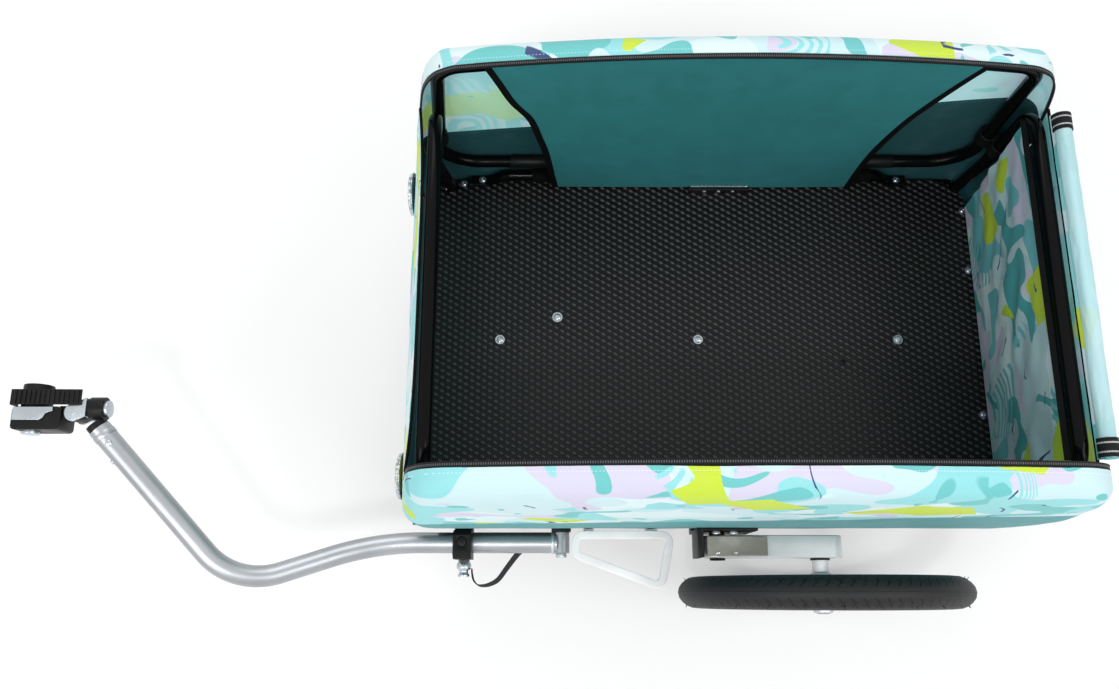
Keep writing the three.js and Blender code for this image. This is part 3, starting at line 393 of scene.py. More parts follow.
@dataclass(frozen=True)
class DottedSheet:
    """The floor's black plastic sheet with rows of small raised dots."""

    name: str = "dotted floor sheet"
    pitch: float = 0.0178
    row: float = 0.0103
    depth: float = 0.0009
    long: float = 0.0046
    short: float = 0.0026
    away: float = 10.0
    lean: tuple[float, float] = (0.5, 0.866)

    def dots(self, graph: Graph, x: Value, y: Value, shift: float) -> Value:
        """One of the two grids of slanting oval dots, as a height from 0 to 1.

        Args:
            graph: Not used.
            x: The place along the sheet.
            y: The place across it.
            shift: How far the grid is moved, as a share of its pitch.

        Returns:
            The height.
        """
        across = ((x / self.pitch + shift).fraction() - 0.5) * self.pitch
        along = ((y / self.row + shift).fraction() - 0.5) * self.row
        sine, cosine = self.lean
        lengthways = (along * sine - across * cosine) / self.long
        crossways = (across * sine + along * cosine) / self.short
        return (1 - lengthways * lengthways - crossways * crossways).at_least(0.0)

    def build(self) -> Material:
        """Makes the material.

        Returns:
            The material.
        """
        graph = Graph(self.name)
        place = graph.place()
        x, y, _ = graph.split(place)
        x, y = x + self.away, y + self.away
        dots = self.dots(graph, x, y, 0.0).at_least(self.dots(graph, x, y, 0.5))
        ridges = abs((x / self.pitch + y / self.row + 0.5).fraction() - 0.5).under(0.07, 0.08)
        height = dots.at_least(ridges * 0.3)
        dust = graph.noise(place, 14.0, 5.0)
        crown = dots.over(0.5, 0.5)
        color = graph.mix(ridges * 0.5, tone(6, 6, 7), tone(26, 26, 27))
        # Painted highlight: the dots' crowns are a lighter grey, standing in for glints of the lamps on them.
        color = graph.mix(crown, color, tone(74, 74, 76))
        color = graph.mix((dust - 0.5).at_least(0.0) * 0.3, color, tone(40, 40, 42))
        rough = 0.42 - crown * 0.2 + (dust - 0.5) * 0.16
        return graph.dress(color, rough, height, self.depth, Specular_IOR_Level=0.28)


@dataclass(frozen=True)
class Weave:
    """Plain woven cloth or tape."""

    name: str
    color: Triple
    thread: float = 0.0011
    roughness: float = 0.82
    depth: float = 0.00012
    shade: float = 0.75
    specular: float = 0.2
    sheen: float = 0.02

    def build(self) -> Material:
        """Makes the material.

        Returns:
            The material.
        """
        graph = Graph(self.name)
        place = graph.place()
        x, y, z = graph.split(place)
        turn = math.tau / self.thread
        threads = (x * turn).sine() * (z * turn).sine() * 0.5 + (y * turn).sine() * 0.25 + 0.5
        worn = graph.noise(place, 30.0, 5.0)
        flecks = graph.noise(place, 700.0, 2.0)
        dark = tuple(part * self.shade for part in self.color)
        color = graph.mix((worn * 0.6 + flecks * 0.4).over(0.5, 0.3), dark, self.color)
        return graph.dress(color, self.roughness + (flecks - 0.5) * 0.1, threads, self.depth,
                           Sheen_Weight=self.sheen, Specular_IOR_Level=self.specular)


@dataclass(frozen=True)
class Print:
    """Coated cloth with a loose all-over design of cut-out shapes.

    The design is a generic one in pale blue, turquoise, lime and lilac with short dark strokes. With a band,
    the cloth is plain teal below a slanting seam. The side of it that faces the load is a muted, pale back
    with
    painted light: above the seam it is brightened and glows faintly, standing in for light through the cloth,
    and below the seam it is a darker teal as painted shade.
    """

    name: str
    band: bool = False
    seam_height: float = 0.344
    seam_rise: float = -0.135
    faded: float = 0.0
    middle: Triple = (-0.26, 0.0, 0.38)
    ground: Triple = tone(196, 224, 229)
    paler: Triple = tone(212, 232, 235)
    turquoise: Triple = tone(142, 212, 216)
    teal: Triple = tone(104, 190, 190)
    lime: Triple = tone(192, 216, 52)
    lilac: Triple = tone(206, 203, 224)
    ink: Triple = tone(38, 56, 112)
    skirt: Triple = tone(66, 146, 150)
    # The cloth's muted back on its inside, brightened as painted light through the cloth.
    dull: Triple = tone(190, 248, 250)
    # Painted shade: the inside of the skirt, a darker teal than its outside.
    painted_shade_skirt: Triple = tone(18, 82, 88)
    stitch_line: float = 0.2415

    def patch(self, graph: Graph, place: Value, shift: float, scale: float, level: float,
              twist: float) -> Value:
        """A mask of crisp round-edged patches.

        Args:
            graph: The material's nodes.
            place: The point on the object.
            shift: How far the pattern is moved, in metres.
            scale: How small the patches are.
            level: How few they are, from 0 to 1.
            twist: How much they are bent.

        Returns:
            The mask.
        """
        moved = graph.moved(place, (shift, shift * 0.7, -shift), (1.0, 1.0, 1.2))
        return graph.noise(moved, scale, 0.0, twist).over(level, 0.008)

    def chips(self, graph: Graph, place: Value) -> Value:
        """A mask of a few straight-edged chips.

        Args:
            graph: The material's nodes.
            place: The point on the object.

        Returns:
            The mask.
        """
        moved = graph.moved(place, (1.9, 6.2, 2.8), (1.0, 1.0, 1.2))
        cells = graph.node("ShaderNodeTexVoronoi", {}, {"Vector": moved, "Scale": 14.0}, "Color")
        return graph.split(cells)[0].over(0.9, 0.002)

    def strokes(self, graph: Graph, place: Value) -> Value:
        """A mask of short curved strokes.

        Args:
            graph: The material's nodes.
            place: The point on the object.

        Returns:
            The mask.
        """
        line = graph.noise(graph.moved(place, (4.1, 1.3, 7.7)), 12.0, 0.0, 0.3)
        here = graph.noise(graph.moved(place, (9.2, 3.1, 5.5)), 19.0, 0.0)
        return abs(line - 0.5).under(0.009, 0.004) * here.over(0.64, 0.006)

    def fans(self, graph: Graph, place: Value) -> Value:
        """A mask of a few groups of bent stripes.

        Args:
            graph: The material's nodes.
            place: The point on the object.

        Returns:
            The mask.
        """
        bend = graph.noise(graph.moved(place, (2.2, 8.1, 0.4)), 7.0, 0.0, 0.5)
        here = graph.noise(graph.moved(place, (6.6, 0.9, 3.3)), 9.0, 0.0)
        return (bend * 110.0).sine().over(0.1, 0.1) * here.over(0.64, 0.008)

    def inside(self, graph: Graph, place: Value) -> Value:
        """A mask of the side that faces the load.

        Args:
            graph: The material's nodes.
            place: The point on the object.

        Returns:
            The mask.
        """
        normal = graph.node("ShaderNodeTexCoord", {}, {}, "Normal")
        away = graph.node("ShaderNodeVectorMath", {"operation": "SUBTRACT"}, {0: place, 1: self.middle})
        pair = {0: normal, 1: away}
        facing = graph.node("ShaderNodeVectorMath", {"operation": "DOT_PRODUCT"}, pair, "Value")
        return facing.under(0.0, 0.01)

    def design(self, graph: Graph, place: Value) -> Value:
        """The print's colours, layer upon layer.

        Args:
            graph: The material's nodes.
            place: The point on the object.

        Returns:
            The colour.
        """
        layers = (
            (self.patch(graph, place, 3.7, 8.0, 0.54, 0.4), self.paler),
            (self.patch(graph, place, 11.3, 11.0, 0.61, 0.5), self.lilac),
            (self.patch(graph, place, 5.9, 10.0, 0.6, 0.9), self.turquoise),
            (self.patch(graph, place, 8.4, 12.0, 0.62, 1.1), self.teal),
            (self.fans(graph, place), self.turquoise),
            (self.chips(graph, place), self.lime),
            (self.strokes(graph, place), self.ink),
            (self.faded, self.ground),
        )
        color: Any = self.ground
        for mask, layer in layers:
            color = graph.mix(mask, color, layer)
        return color

    def banded(self, graph: Graph, place: Value, color: Value) -> tuple[Value, Value]:
        """Adds the teal skirt, the stitches and the side that faces the load, with painted light on that
        side: a faint glow and a pale colour above the seam, and painted shade below it.

        Args:
            graph: The material's nodes.
            place: The point on the object.
            color: The print's colour.

        Returns:
            The new colour, and a mask of the skirt for the bump.
        """
        x, y, z = graph.split(place)
        rise = z - x * self.seam_rise
        inside = self.inside(graph, place)
        # Painted light: the inside faces above the seam glow faintly with the print's colour, standing in for
        # light through the cloth.
        glow = graph.mix(inside * rise.over(self.seam_height, 0.0012), (0.0, 0.0, 0.0), color)
        graph.feed(graph.shader.inputs["Emission Color"], glow)
        # The inside above the seam is the cloth's muted back, made pale partly as painted light through the
        # cloth.
        color = graph.mix(inside * 0.86, color, self.dull)
        # Painted shade: the inside of the skirt is a darker teal than its outside.
        skirt = graph.mix(inside, self.skirt, self.painted_shade_skirt)
        color = graph.mix(rise.under(self.seam_height, 0.0012), color, skirt)
        stitched = abs(rise - (self.seam_height - 0.006)).under(0.0012, 0.001)
        color = graph.mix(stitched * (x * 1100.0).sine().over(0.0, 0.6), color, tone(58, 116, 120))
        along_zip = abs(abs(y) - self.stitch_line).under(0.0004, 0.0003) * rise.over(self.seam_height, 0.001)
        stitches = along_zip * ((x + z) * 1700.0).sine().over(0.1, 0.4) * 0.5
        return graph.mix(stitches, color, tone(244, 248, 248)), rise.under(self.seam_height, 0.003)

    def build(self) -> Material:
        """Makes the material.

        Returns:
            The material.
        """
        graph = Graph(self.name)
        place = graph.place()
        color = self.design(graph, place)
        height = graph.noise(place, 900.0, 2.0) * 0.3
        if self.band:
            color, skirt = self.banded(graph, place, color)
            height = height + skirt * 0.9
        worn = graph.noise(place, 25.0, 4.0)
        color = graph.mix((0.5 - worn).at_least(0.0) * 0.3, color, tone(150, 180, 186))
        # The banded cloth's emission is the painted glow on its inside faces.
        return graph.dress(color, 0.68 + (worn - 0.5) * 0.2, height, 0.0007, Sheen_Weight=0.05,
                           Emission_Strength=0.25 if self.band else 0.0)


@dataclass(frozen=True)
class ZipTape:
    """Black zip: a coil of teeth down the middle of a woven tape. It follows the piece's own map."""

    name: str = "zip tape"
    tooth: float = 0.0026

    def build(self) -> Material:
        """Makes the material.

        Returns:
            The material.
        """
        graph = Graph(self.name)
        along, across = graph.lengthways()
        coil = abs(across - 0.5).under(0.2, 0.04)
        teeth = (along * (math.tau / self.tooth)).sine() * 0.5 + 0.5
        ribs = (along * (math.tau / 0.0009)).sine() * 0.5 + 0.5
        shine = coil * teeth.over(0.6, 0.4)
        color = graph.mix(shine, tone(12, 12, 13), tone(92, 93, 96))
        height = coil * (0.5 + teeth * 0.5) + (1 - coil) * ribs * 0.12
        return graph.dress(color, 0.72 - shine * 0.3, height, 0.0008, Specular_IOR_Level=0.25)


@dataclass(frozen=True)
class StripedElastic:
    """Black elastic tape with two thin pale lines along it. It follows the piece's own map."""

    name: str
    ground: Triple
    line: Triple
    rib: float = 0.0016

    def build(self) -> Material:
        """Makes the material.

        Returns:
            The material.
        """
        graph = Graph(self.name)
        along, across = graph.lengthways()
        lines = abs(abs(across - 0.5) - 0.2).under(0.035, 0.015)
        ribs = (along * (math.tau / self.rib)).sine() * 0.5 + 0.5
        color = graph.mix(lines * ribs.over(0.25, 0.3), self.ground, self.line)
        return graph.dress(color, 0.82 - ribs * 0.1, ribs, 0.0002, Specular_IOR_Level=0.2)


@dataclass(frozen=True)
class TyreRubber:
    """Black tyre rubber with zigzag cuts in its shoulders and fine side ribs."""

    name: str
    side: int
    middle: float = 0.362
    centre_height: float = 0.2
    grooves: int = 84

    def build(self) -> Material:
        """Makes the material.

        Returns:
            The material.
        """
        graph = Graph(self.name)
        place = graph.place()
        x, y, z = graph.split(place)
        x, z = x - AXLE * MM, z - self.centre_height
        off = abs(y - self.side * self.middle)
        reach = graph.node("ShaderNodeMath", {"operation": "POWER"}, {0: x * x + z * z, 1: 0.5})
        turn = graph.node("ShaderNodeMath", {"operation": "ARCTAN2"}, {0: x, 1: z})
        lap = turn * (self.grooves / math.tau) + 40.0
        long_cut = abs((lap + off * 54.0).fraction() - 0.5).under(0.08, 0.04) * off.over(0.0075, 0.001)
        short_cut = abs((lap - off * 46.0 + 0.3).fraction() - 0.5).under(0.08, 0.04) * off.over(0.0115, 0.001)
        cut = (long_cut * off.under(0.0178, 0.001)).at_least(short_cut * off.under(0.0168, 0.001))
        ridge = off.under(0.0008, 0.0005) * reach.over(0.19, 0.004)
        ribs = (reach * 2600.0).sine() * 0.5 + 0.5
        wall = reach.under(0.174, 0.004) * ribs * 0.12
        dust = graph.noise(place, 60.0, 4.0)
        # Painted shade: the cuts are a darker black than the rubber round them.
        color = graph.mix(cut, tone(26, 26, 28), tone(5, 5, 6))
        color = graph.mix((dust - 0.5).at_least(0.0) * 0.4, color, tone(54, 54, 54))
        height = 1 - cut + wall + ridge * 0.3
        return graph.dress(color, 0.56 + (dust - 0.5) * 0.16, height, 0.0016, Specular_IOR_Level=0.3)


@dataclass(frozen=True)
class ReflectorLens:
    """Clear lens with a field of tiny prisms."""

    name: str = "reflector lens"
    prism: float = 0.0036

    def build(self) -> Material:
        """Makes the material.

        Returns:
            The material.
        """
        graph = Graph(self.name)
        place = graph.place()
        cells = graph.node("ShaderNodeTexVoronoi", {}, {"Vector": place, "Scale": 1 / self.prism}, "Distance")
        color = graph.mix(cells.over(0.45, 0.5), tone(232, 236, 238), tone(150, 156, 160))
        return graph.dress(color, 0.12 + cells * 0.15, cells, 0.0008, Coat_Weight=0.6, Metallic=0.25)


class Look(Protocol):
    """Anything that builds a material."""

    def build(self) -> Material:
        """Makes the material."""


class Finish:
    """A built material with the record's slot that it belongs to."""

    def __init__(self, slot: Slot, look: Look) -> None:
        """Builds the look's material."""
        self.slot = slot
        self.material = look.build()


class Finishes:
    """Every finish on the trailer, made once."""

    def __init__(self) -> None:
        """Builds the materials."""
        brushed = (1.0, 9.0, 9.0)
        self.tube = Finish(Slot.TUBE, Metal(
            "gloss black tube", tone(8, 8, 9), 0.17, 0.0, 0.03, coat=0.06, specular=0.07))
        self.plastic = Finish(Slot.PLASTIC, Moulded("black moulded plastic", tone(14, 14, 15), 0.42))
        self.floor = Finish(Slot.FLOOR, DottedSheet())
        self.aluminium = Finish(Slot.ALUMINIUM, Metal(
            "satin aluminium", tone(206, 208, 210), 0.42, 0.85, 0.06, brushed))
        self.bar = Finish(Slot.ALUMINIUM, Metal(
            "satin grey tube", tone(172, 175, 179), 0.36, 0.85, 0.05, brushed))
        self.arm = Finish(Slot.ALUMINIUM, Metal("pale arm", tone(232, 233, 234), 0.42, 0.35, 0.05, brushed))
        self.spokes = Finish(Slot.ZINC, Metal("bright spoke wire", tone(205, 207, 210), 0.25))
        self.zinc = Finish(Slot.ZINC, Metal("bright zinc plate", tone(192, 200, 206), 0.27, 0.95, 0.1))
        self.guard = Finish(Slot.GUARD, Metal("silver white paint", tone(250, 246, 246), 0.4, 0.0, 0.05))
        self.print = Finish(Slot.PRINT, Print("printed cloth"))
        self.side_print = Finish(Slot.PRINT, Print("printed cloth over teal", band=True))
        self.front_print = Finish(Slot.PRINT, Print(
            "printed cloth of the front", band=True, seam_height=0.236, seam_rise=0.0))
        self.rolled = Finish(Slot.PRINT, Print("rolled cloth", faded=0.86, ground=tone(176, 212, 217)))
        self.lining_print = Finish(Slot.PRINT, Print(
            "printed lining", ground=tone(186, 216, 222), turquoise=tone(110, 190, 198),
            teal=tone(70, 162, 166)))
        self.teal = Finish(Slot.TEAL, Weave("teal lining cloth", tone(47, 130, 134), shade=0.86))
        # Painted shade: the flaps under the floor's edge are the teal cover cloth, darkened.
        self.flap = Finish(Slot.TEAL, Weave("teal flap in painted shade", tone(18, 70, 76)))
        self.binding = Finish(Slot.WEBBING, Weave(
            "black edge binding", tone(12, 12, 13), 0.0014, specular=0.08, sheen=0.0))
        self.zip = Finish(Slot.WEBBING, ZipTape())
        self.elastic = Finish(Slot.WEBBING, StripedElastic(
            "striped elastic", tone(24, 24, 26), tone(216, 218, 218)))
        self.lanyard = Finish(Slot.GREY_WEBBING, StripedElastic(
            "grey webbing", tone(46, 47, 50), tone(66, 67, 70)))
        self.cap = Finish(Slot.PLASTIC, Moulded("grey button", tone(120, 122, 125), 0.45))
        self.rubber_strap = Finish(Slot.WEBBING, Moulded(
            "black rubber strap", tone(15, 15, 16), 0.5, 0.00003))
        self.tyres = {side: Finish(Slot.TYRE, TyreRubber(f"tyre rubber {side.word}", side.sign))
                      for side in Side}
        self.elastomer = Finish(Slot.ELASTOMER, Moulded(
            "grey brown elastomer", tone(152, 148, 138), 0.5, 0.00008, 500.0))
        self.lens = Finish(Slot.LENS, ReflectorLens())


# Workbench


class Bench:
    """Operators as a modeller would use them, on one object at a time."""

    @staticmethod
    def alone(piece: Piece) -> None:
        """Makes a piece the only selected and active one.

        Args:
            piece: The piece.
        """
        bpy.ops.object.select_all(action="DESELECT")
        piece.select_set(True)
        bpy.context.view_layer.objects.active = piece

    @staticmethod
    def edit(piece: Piece, *steps: Callable[[], Any]) -> None:
        """Runs operators on the whole of a piece in edit mode.

        Args:
            piece: The piece.
            steps: What to run, in this order.
        """
        Bench.alone(piece)
        bpy.ops.object.mode_set(mode="EDIT")
        bpy.ops.mesh.select_all(action="SELECT")
        for step in steps:
            step()
        bpy.ops.object.mode_set(mode="OBJECT")

    @staticmethod
    def modify(piece: Piece, kind: str, **settings: Any) -> None:
        """Adds a modifier with these settings and applies it.

        Args:
            piece: The piece.
            kind: The modifier's type.
            settings: Its settings.
        """
        Bench.alone(piece)
        made = piece.modifiers.new(kind.title(), kind)
        for key, value in settings.items():
            setattr(made, key, value)
        bpy.ops.object.modifier_apply(modifier=made.name)

    @staticmethod
    def smooth(piece: Piece, degrees: float = 35.0) -> Piece:
        """Shades a piece smooth, with its sharper edges kept.

        Args:
            piece: The piece.
            degrees: Edges sharper than this are kept.

        Returns:
            The same piece.
        """
        Bench.alone(piece)
        bpy.ops.object.shade_smooth_by_angle(angle=math.radians(degrees))
        return piece

    @staticmethod
    def rounded(piece: Piece, width: float, segments: int = 2) -> Piece:
        """Rounds the sharp edges of a piece.

        Args:
            piece: The piece.
            width: The rounding's width in millimetres.
            segments: How many faces make the rounding.

        Returns:
            The same piece, smoothly shaded.
        """
        Bench.modify(piece, "BEVEL", width=width * MM, segments=segments, limit_method="ANGLE",
                     angle_limit=math.radians(38), use_clamp_overlap=True)
        return Bench.smooth(piece)

    @staticmethod
    def place(piece: Piece, name: str) -> Piece:
        """Names a new piece and puts its place into its mesh.

        Args:
            piece: The piece.
            name: Its name.

        Returns:
            The same piece.
        """
        Bench.alone(piece)
        bpy.ops.object.transform_apply(location=True, rotation=True, scale=True)
        piece.name = name
        return piece

    @staticmethod
    def rod(name: str, start: Vector, end: Vector, radius: float, sides: int = 32,
            edge: float = 0.4) -> Piece:
        """A round rod between two points with rounded ends.

        Args:
            name: The piece's name.
            start: One end, in metres.
            end: The other end, in metres.
            radius: Its radius in millimetres.
            sides: Its number of sides.
            edge: The rounding of its ends in millimetres.

        Returns:
            The rod.
        """
        turn = (end - start).to_track_quat("Z", "Y").to_euler()
        bpy.ops.object.select_all(action="DESELECT")
        bpy.ops.mesh.primitive_cylinder_add(vertices=sides, radius=radius * MM, depth=(end - start).length,
                                            location=(start + end) / 2, rotation=turn)
        piece = Bench.place(bpy.context.object, name)
        return Bench.rounded(piece, edge) if edge else Bench.smooth(piece)

    @staticmethod
    def block(name: str, low: Vector, high: Vector, edge: float = 0.8) -> Piece:
        """A block between two corners with rounded edges.

        Args:
            name: The piece's name.
            low: Its lowest corner, in metres.
            high: Its highest corner, in metres.
            edge: The rounding of its edges in millimetres.

        Returns:
            The block.
        """
        bpy.ops.object.select_all(action="DESELECT")
        bpy.ops.mesh.primitive_cube_add(size=1, location=(low + high) / 2)
        piece = bpy.context.object
        piece.scale = high - low
        return Bench.rounded(Bench.place(piece, name), edge)

    @staticmethod
    def turned(name: str, profile: Sequence[tuple[float, float]], centre: Vector, axis: Vector,
               steps: int = 48) -> Piece:
        """A closed profile spun into a full turn about an axis.

        Args:
            name: The piece's name.
            profile: Points as radius and place along the axis, in millimetres.
            centre: A point of the axis, in metres.
            axis: The axis's direction.
            steps: Steps of the turn.

        Returns:
            The turned piece.
        """
        out = axis.orthogonal().normalized()
        points = [centre + (out * radius + axis * along) * MM for radius, along in profile]
        edges = [(place, (place + 1) % len(points)) for place in range(len(points))]
        piece = Bench.sheet(name, points, edges, [])
        Bench.edit(
            piece,
            lambda: bpy.ops.mesh.spin(steps=steps, angle=math.tau, center=centre, axis=axis),
            lambda: bpy.ops.mesh.select_all(action="SELECT"),
            lambda: bpy.ops.mesh.remove_doubles(threshold=WELD),
            lambda: bpy.ops.mesh.dissolve_degenerate(threshold=WELD),
            lambda: bpy.ops.mesh.normals_make_consistent(inside=False),
        )
        return Bench.smooth(piece, 30)

    @staticmethod
    def sheet(name: str, points: Sequence[Vector], edges: Sequence[tuple[int, int]],
              faces: Sequence[tuple[int, ...]]) -> Piece:
        """A piece made of given points, edges and faces.

        Args:
            name: The piece's name.
            points: Its points, in metres.
            edges: Pairs of point numbers.
            faces: Rings of point numbers.

        Returns:
            The piece.
        """
        mesh = bpy.data.meshes.new(name)
        mesh.from_pydata(points, edges, faces)
        piece = bpy.data.objects.new(name, mesh)
        bpy.context.scene.collection.objects.link(piece)
        return piece

    @staticmethod
    def tube(name: str, path: Sequence[Vector], radius: float, loop: bool = False, sides: int = 6) -> Piece:
        """A round tube along a path.

        Args:
            name: The piece's name.
            path: The points of its middle line, in metres.
            radius: Its radius in millimetres.
            loop: Whether its ends join.
            sides: A quarter of its number of sides, less one.

        Returns:
            The tube.
        """
        curve = bpy.data.curves.new(name, "CURVE")
        curve.dimensions = "3D"
        line = curve.splines.new("POLY")
        line.points.add(len(path) - 1)
        for knot, point in zip(line.points, path):
            knot.co = (*point, 1)
        line.use_cyclic_u = loop
        curve.bevel_depth = radius * MM
        curve.bevel_resolution = sides
        curve.use_fill_caps = not loop
        curve.twist_mode = "MINIMUM"
        piece = bpy.data.objects.new(name, curve)
        bpy.context.scene.collection.objects.link(piece)
        Bench.alone(piece)
        bpy.ops.object.convert(target="MESH")
        piece = bpy.context.object
        Bench.edit(
            piece,
            lambda: bpy.ops.mesh.remove_doubles(threshold=0.000001),
            lambda: bpy.ops.mesh.normals_make_consistent(inside=False),
        )
        return Bench.smooth(piece, 50)

    @staticmethod
    def net(name: str, rows: Sequence[Sequence[Vector]], closed: bool = False) -> Piece:
        """A sheet through rows of points, with its own map in metres along and as a share across.

        Args:
            name: The piece's name.
            rows: Rows of equally many points.
            closed: Whether the last row joins the first.

        Returns:
            The sheet, one face thick.
        """
        width = len(rows[0])
        count = len(rows) if closed else len(rows) - 1
        cells = [(row, step) for row in range(count) for step in range(width - 1)]
        faces = []
        for row, step in cells:
            near, far = row * width + step, (row + 1) % len(rows) * width + step
            faces.append((near, near + 1, far + 1, far))
        piece = Bench.sheet(name, [point for row in rows for point in row], [], faces)
        run = [0.0]
        middle = width // 2
        for before, after in zip(rows, (*rows[1:], rows[0])):
            run.append(run[-1] + (after[middle] - before[middle]).length)
        layer = piece.data.uv_layers.new(name="lengthways")
        for number, (row, step) in enumerate(cells):
            for corner, (down, across) in enumerate(((0, 0), (0, 1), (1, 1), (1, 0))):
                layer.data[number * 4 + corner].uv = (run[row + down], (step + across) / (width - 1))
        return piece

    @staticmethod
    def thick(piece: Piece, thickness: float, offset: float = -1.0) -> Piece:
        """Gives a sheet its thickness in millimetres, and smooth shading."""
        Bench.modify(piece, "SOLIDIFY", thickness=thickness * MM, offset=offset, use_even_offset=True)
        return Bench.smooth(piece, 50)

    @staticmethod
    def band(name: str, path: Sequence[Vector], width: float, thickness: float, side: Vector,
             loop: bool = False, crown: float = 0.0, last_side: Vector | None = None) -> Piece:
        """A flat tape along a path.

        Args:
            name: The piece's name.
            path: Its middle line, in metres.
            width: Its width in millimetres.
            thickness: Its thickness in millimetres.
            side: The direction in which its width lies.
            loop: Whether its ends join.
            crown: How far its middle stands proud, in millimetres.
            last_side: That direction at its end, where the tape twists.

        Returns:
            The tape.
        """
        rows = []
        last = len(path) - 1
        for place, point in enumerate(path):
            before = path[place - 1] if place or loop else path[0]
            after = path[(place + 1) % len(path)] if place < last or loop else path[last]
            ahead = (after - before).normalized()
            wide = side.lerp(last_side, place / last) if last_side else side
            across = (wide - ahead * wide.dot(ahead)).normalized()
            normal = ahead.cross(across)
            shares = (-0.5, -0.3, 0.0, 0.3, 0.5)
            rise = (0.0, 0.7, 1.0, 0.7, 0.0)
            rows.append([point + across * (width * MM * share) + normal * (crown * MM * up)
                         for share, up in zip(shares, rise)])
        return Bench.thick(Bench.net(name, rows, loop), thickness, 0.0)

    @staticmethod
    def from_node(frame: Frame, node: str, name: str, edge: float = 0.6, segments: int = 2) -> Piece:
        """A clean copy of a solid with rounded edges.

        Args:
            node: The solid's name.
            name: The new piece's name.
            edge: The rounding in millimetres.
            segments: How many faces make it.

        Returns:
            The copy.
        """
        piece = bpy.data.objects.new(name, frame["nodes"][node].data.copy())
        piece.data.materials.clear()
        bpy.context.scene.collection.objects.link(piece)
        Bench.edit(
            piece,
            lambda: bpy.ops.mesh.remove_doubles(threshold=0.000005),
            lambda: bpy.ops.mesh.dissolve_limited(angle_limit=math.radians(1.0)),
        )
        if edge:
            Bench.rounded(piece, edge, segments)
        return Bench.smooth(piece, 38)


def hand_over(piece: Piece, body: str, finish: Finish, *nodes: str) -> Piece:
    """Gives a finished piece to the frame.

    Args:
        piece: The piece, in its place.
        body: The body that it moves with.
        finish: Its material and the record's slot.
        nodes: Solids that it stands for.

    Returns:
        The same piece.
    """
    piece.data.materials.clear()
    piece.data.materials.append(finish.material)
    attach(piece, body)
    if nodes:
        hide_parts(*nodes)
    LOG.info("%s: %d faces on %s", piece.name, len(piece.data.polygons), body)
    return piece


def stand_in(frame: Frame, node: str, name: str, body: str, finish: Finish, edge: float,
             segments: int = 2) -> None:
    """Hands over a rounded copy of a solid in its place.

    Args:
        node: The solid's name.
        name: The copy's name.
        body: The body that it moves with.
        finish: Its finish.
        edge: The rounding in millimetres.
        segments: How many faces make it.
    """
    hand_over(Bench.from_node(frame, node, name, edge, segments), body, finish, node)


def bent(corners: Sequence[Vector], radii: Sequence[float], steps: int, loop: bool = False) -> list[Vector]:
    """A line through corner points, with a round bend at each.

    Args:
        corners: The corners, in metres.
        radii: The bend at each corner, in millimetres.
        steps: Steps of each bend.
        loop: Whether the line closes.

    Returns:
        The line's points.
    """
    points: list[Vector] = []
    count = len(corners)
    for place, corner in enumerate(corners):
        if not loop and place in (0, count - 1):
            points.append(corner.copy())
            continue
        before = (corners[place - 1] - corner).normalized()
        after = (corners[(place + 1) % count] - corner).normalized()
        half = before.angle(after) / 2
        radius = radii[place] * MM
        centre = corner + (before + after).normalized() * (radius / math.sin(half))
        reach = radius / math.tan(half)
        start, end = corner + before * reach - centre, corner + after * reach - centre
        turn = math.pi - 2 * half
        for step in range(steps + 1):
            near, far = math.sin((1 - step / steps) * turn), math.sin(step / steps * turn)
            points.append(centre + start * (near / math.sin(turn)) + end * (far / math.sin(turn)))
    return points


def flowing(points: Sequence[Vector], steps: int) -> list[Vector]:
    """A smooth line through points.

    Args:
        points: The points that it passes.
        steps: Steps between each two of them.

    Returns:
        The line's points.
    """
    line = []
    for place in range(len(points) - 1):
        a, b = points[max(place - 1, 0)], points[place]
        c, d = points[place + 1], points[min(place + 2, len(points) - 1)]
        for step in range(steps):
            t = step / steps
            line.append(b * 1.0 + (c - a) * (t / 2) + (a * 2 - b * 5 + c * 4 - d) * (t * t / 2)
                        + (b * 3 - a - c * 3 + d) * (t * t * t / 2))
    return [*line, points[-1].copy()]


# The studio


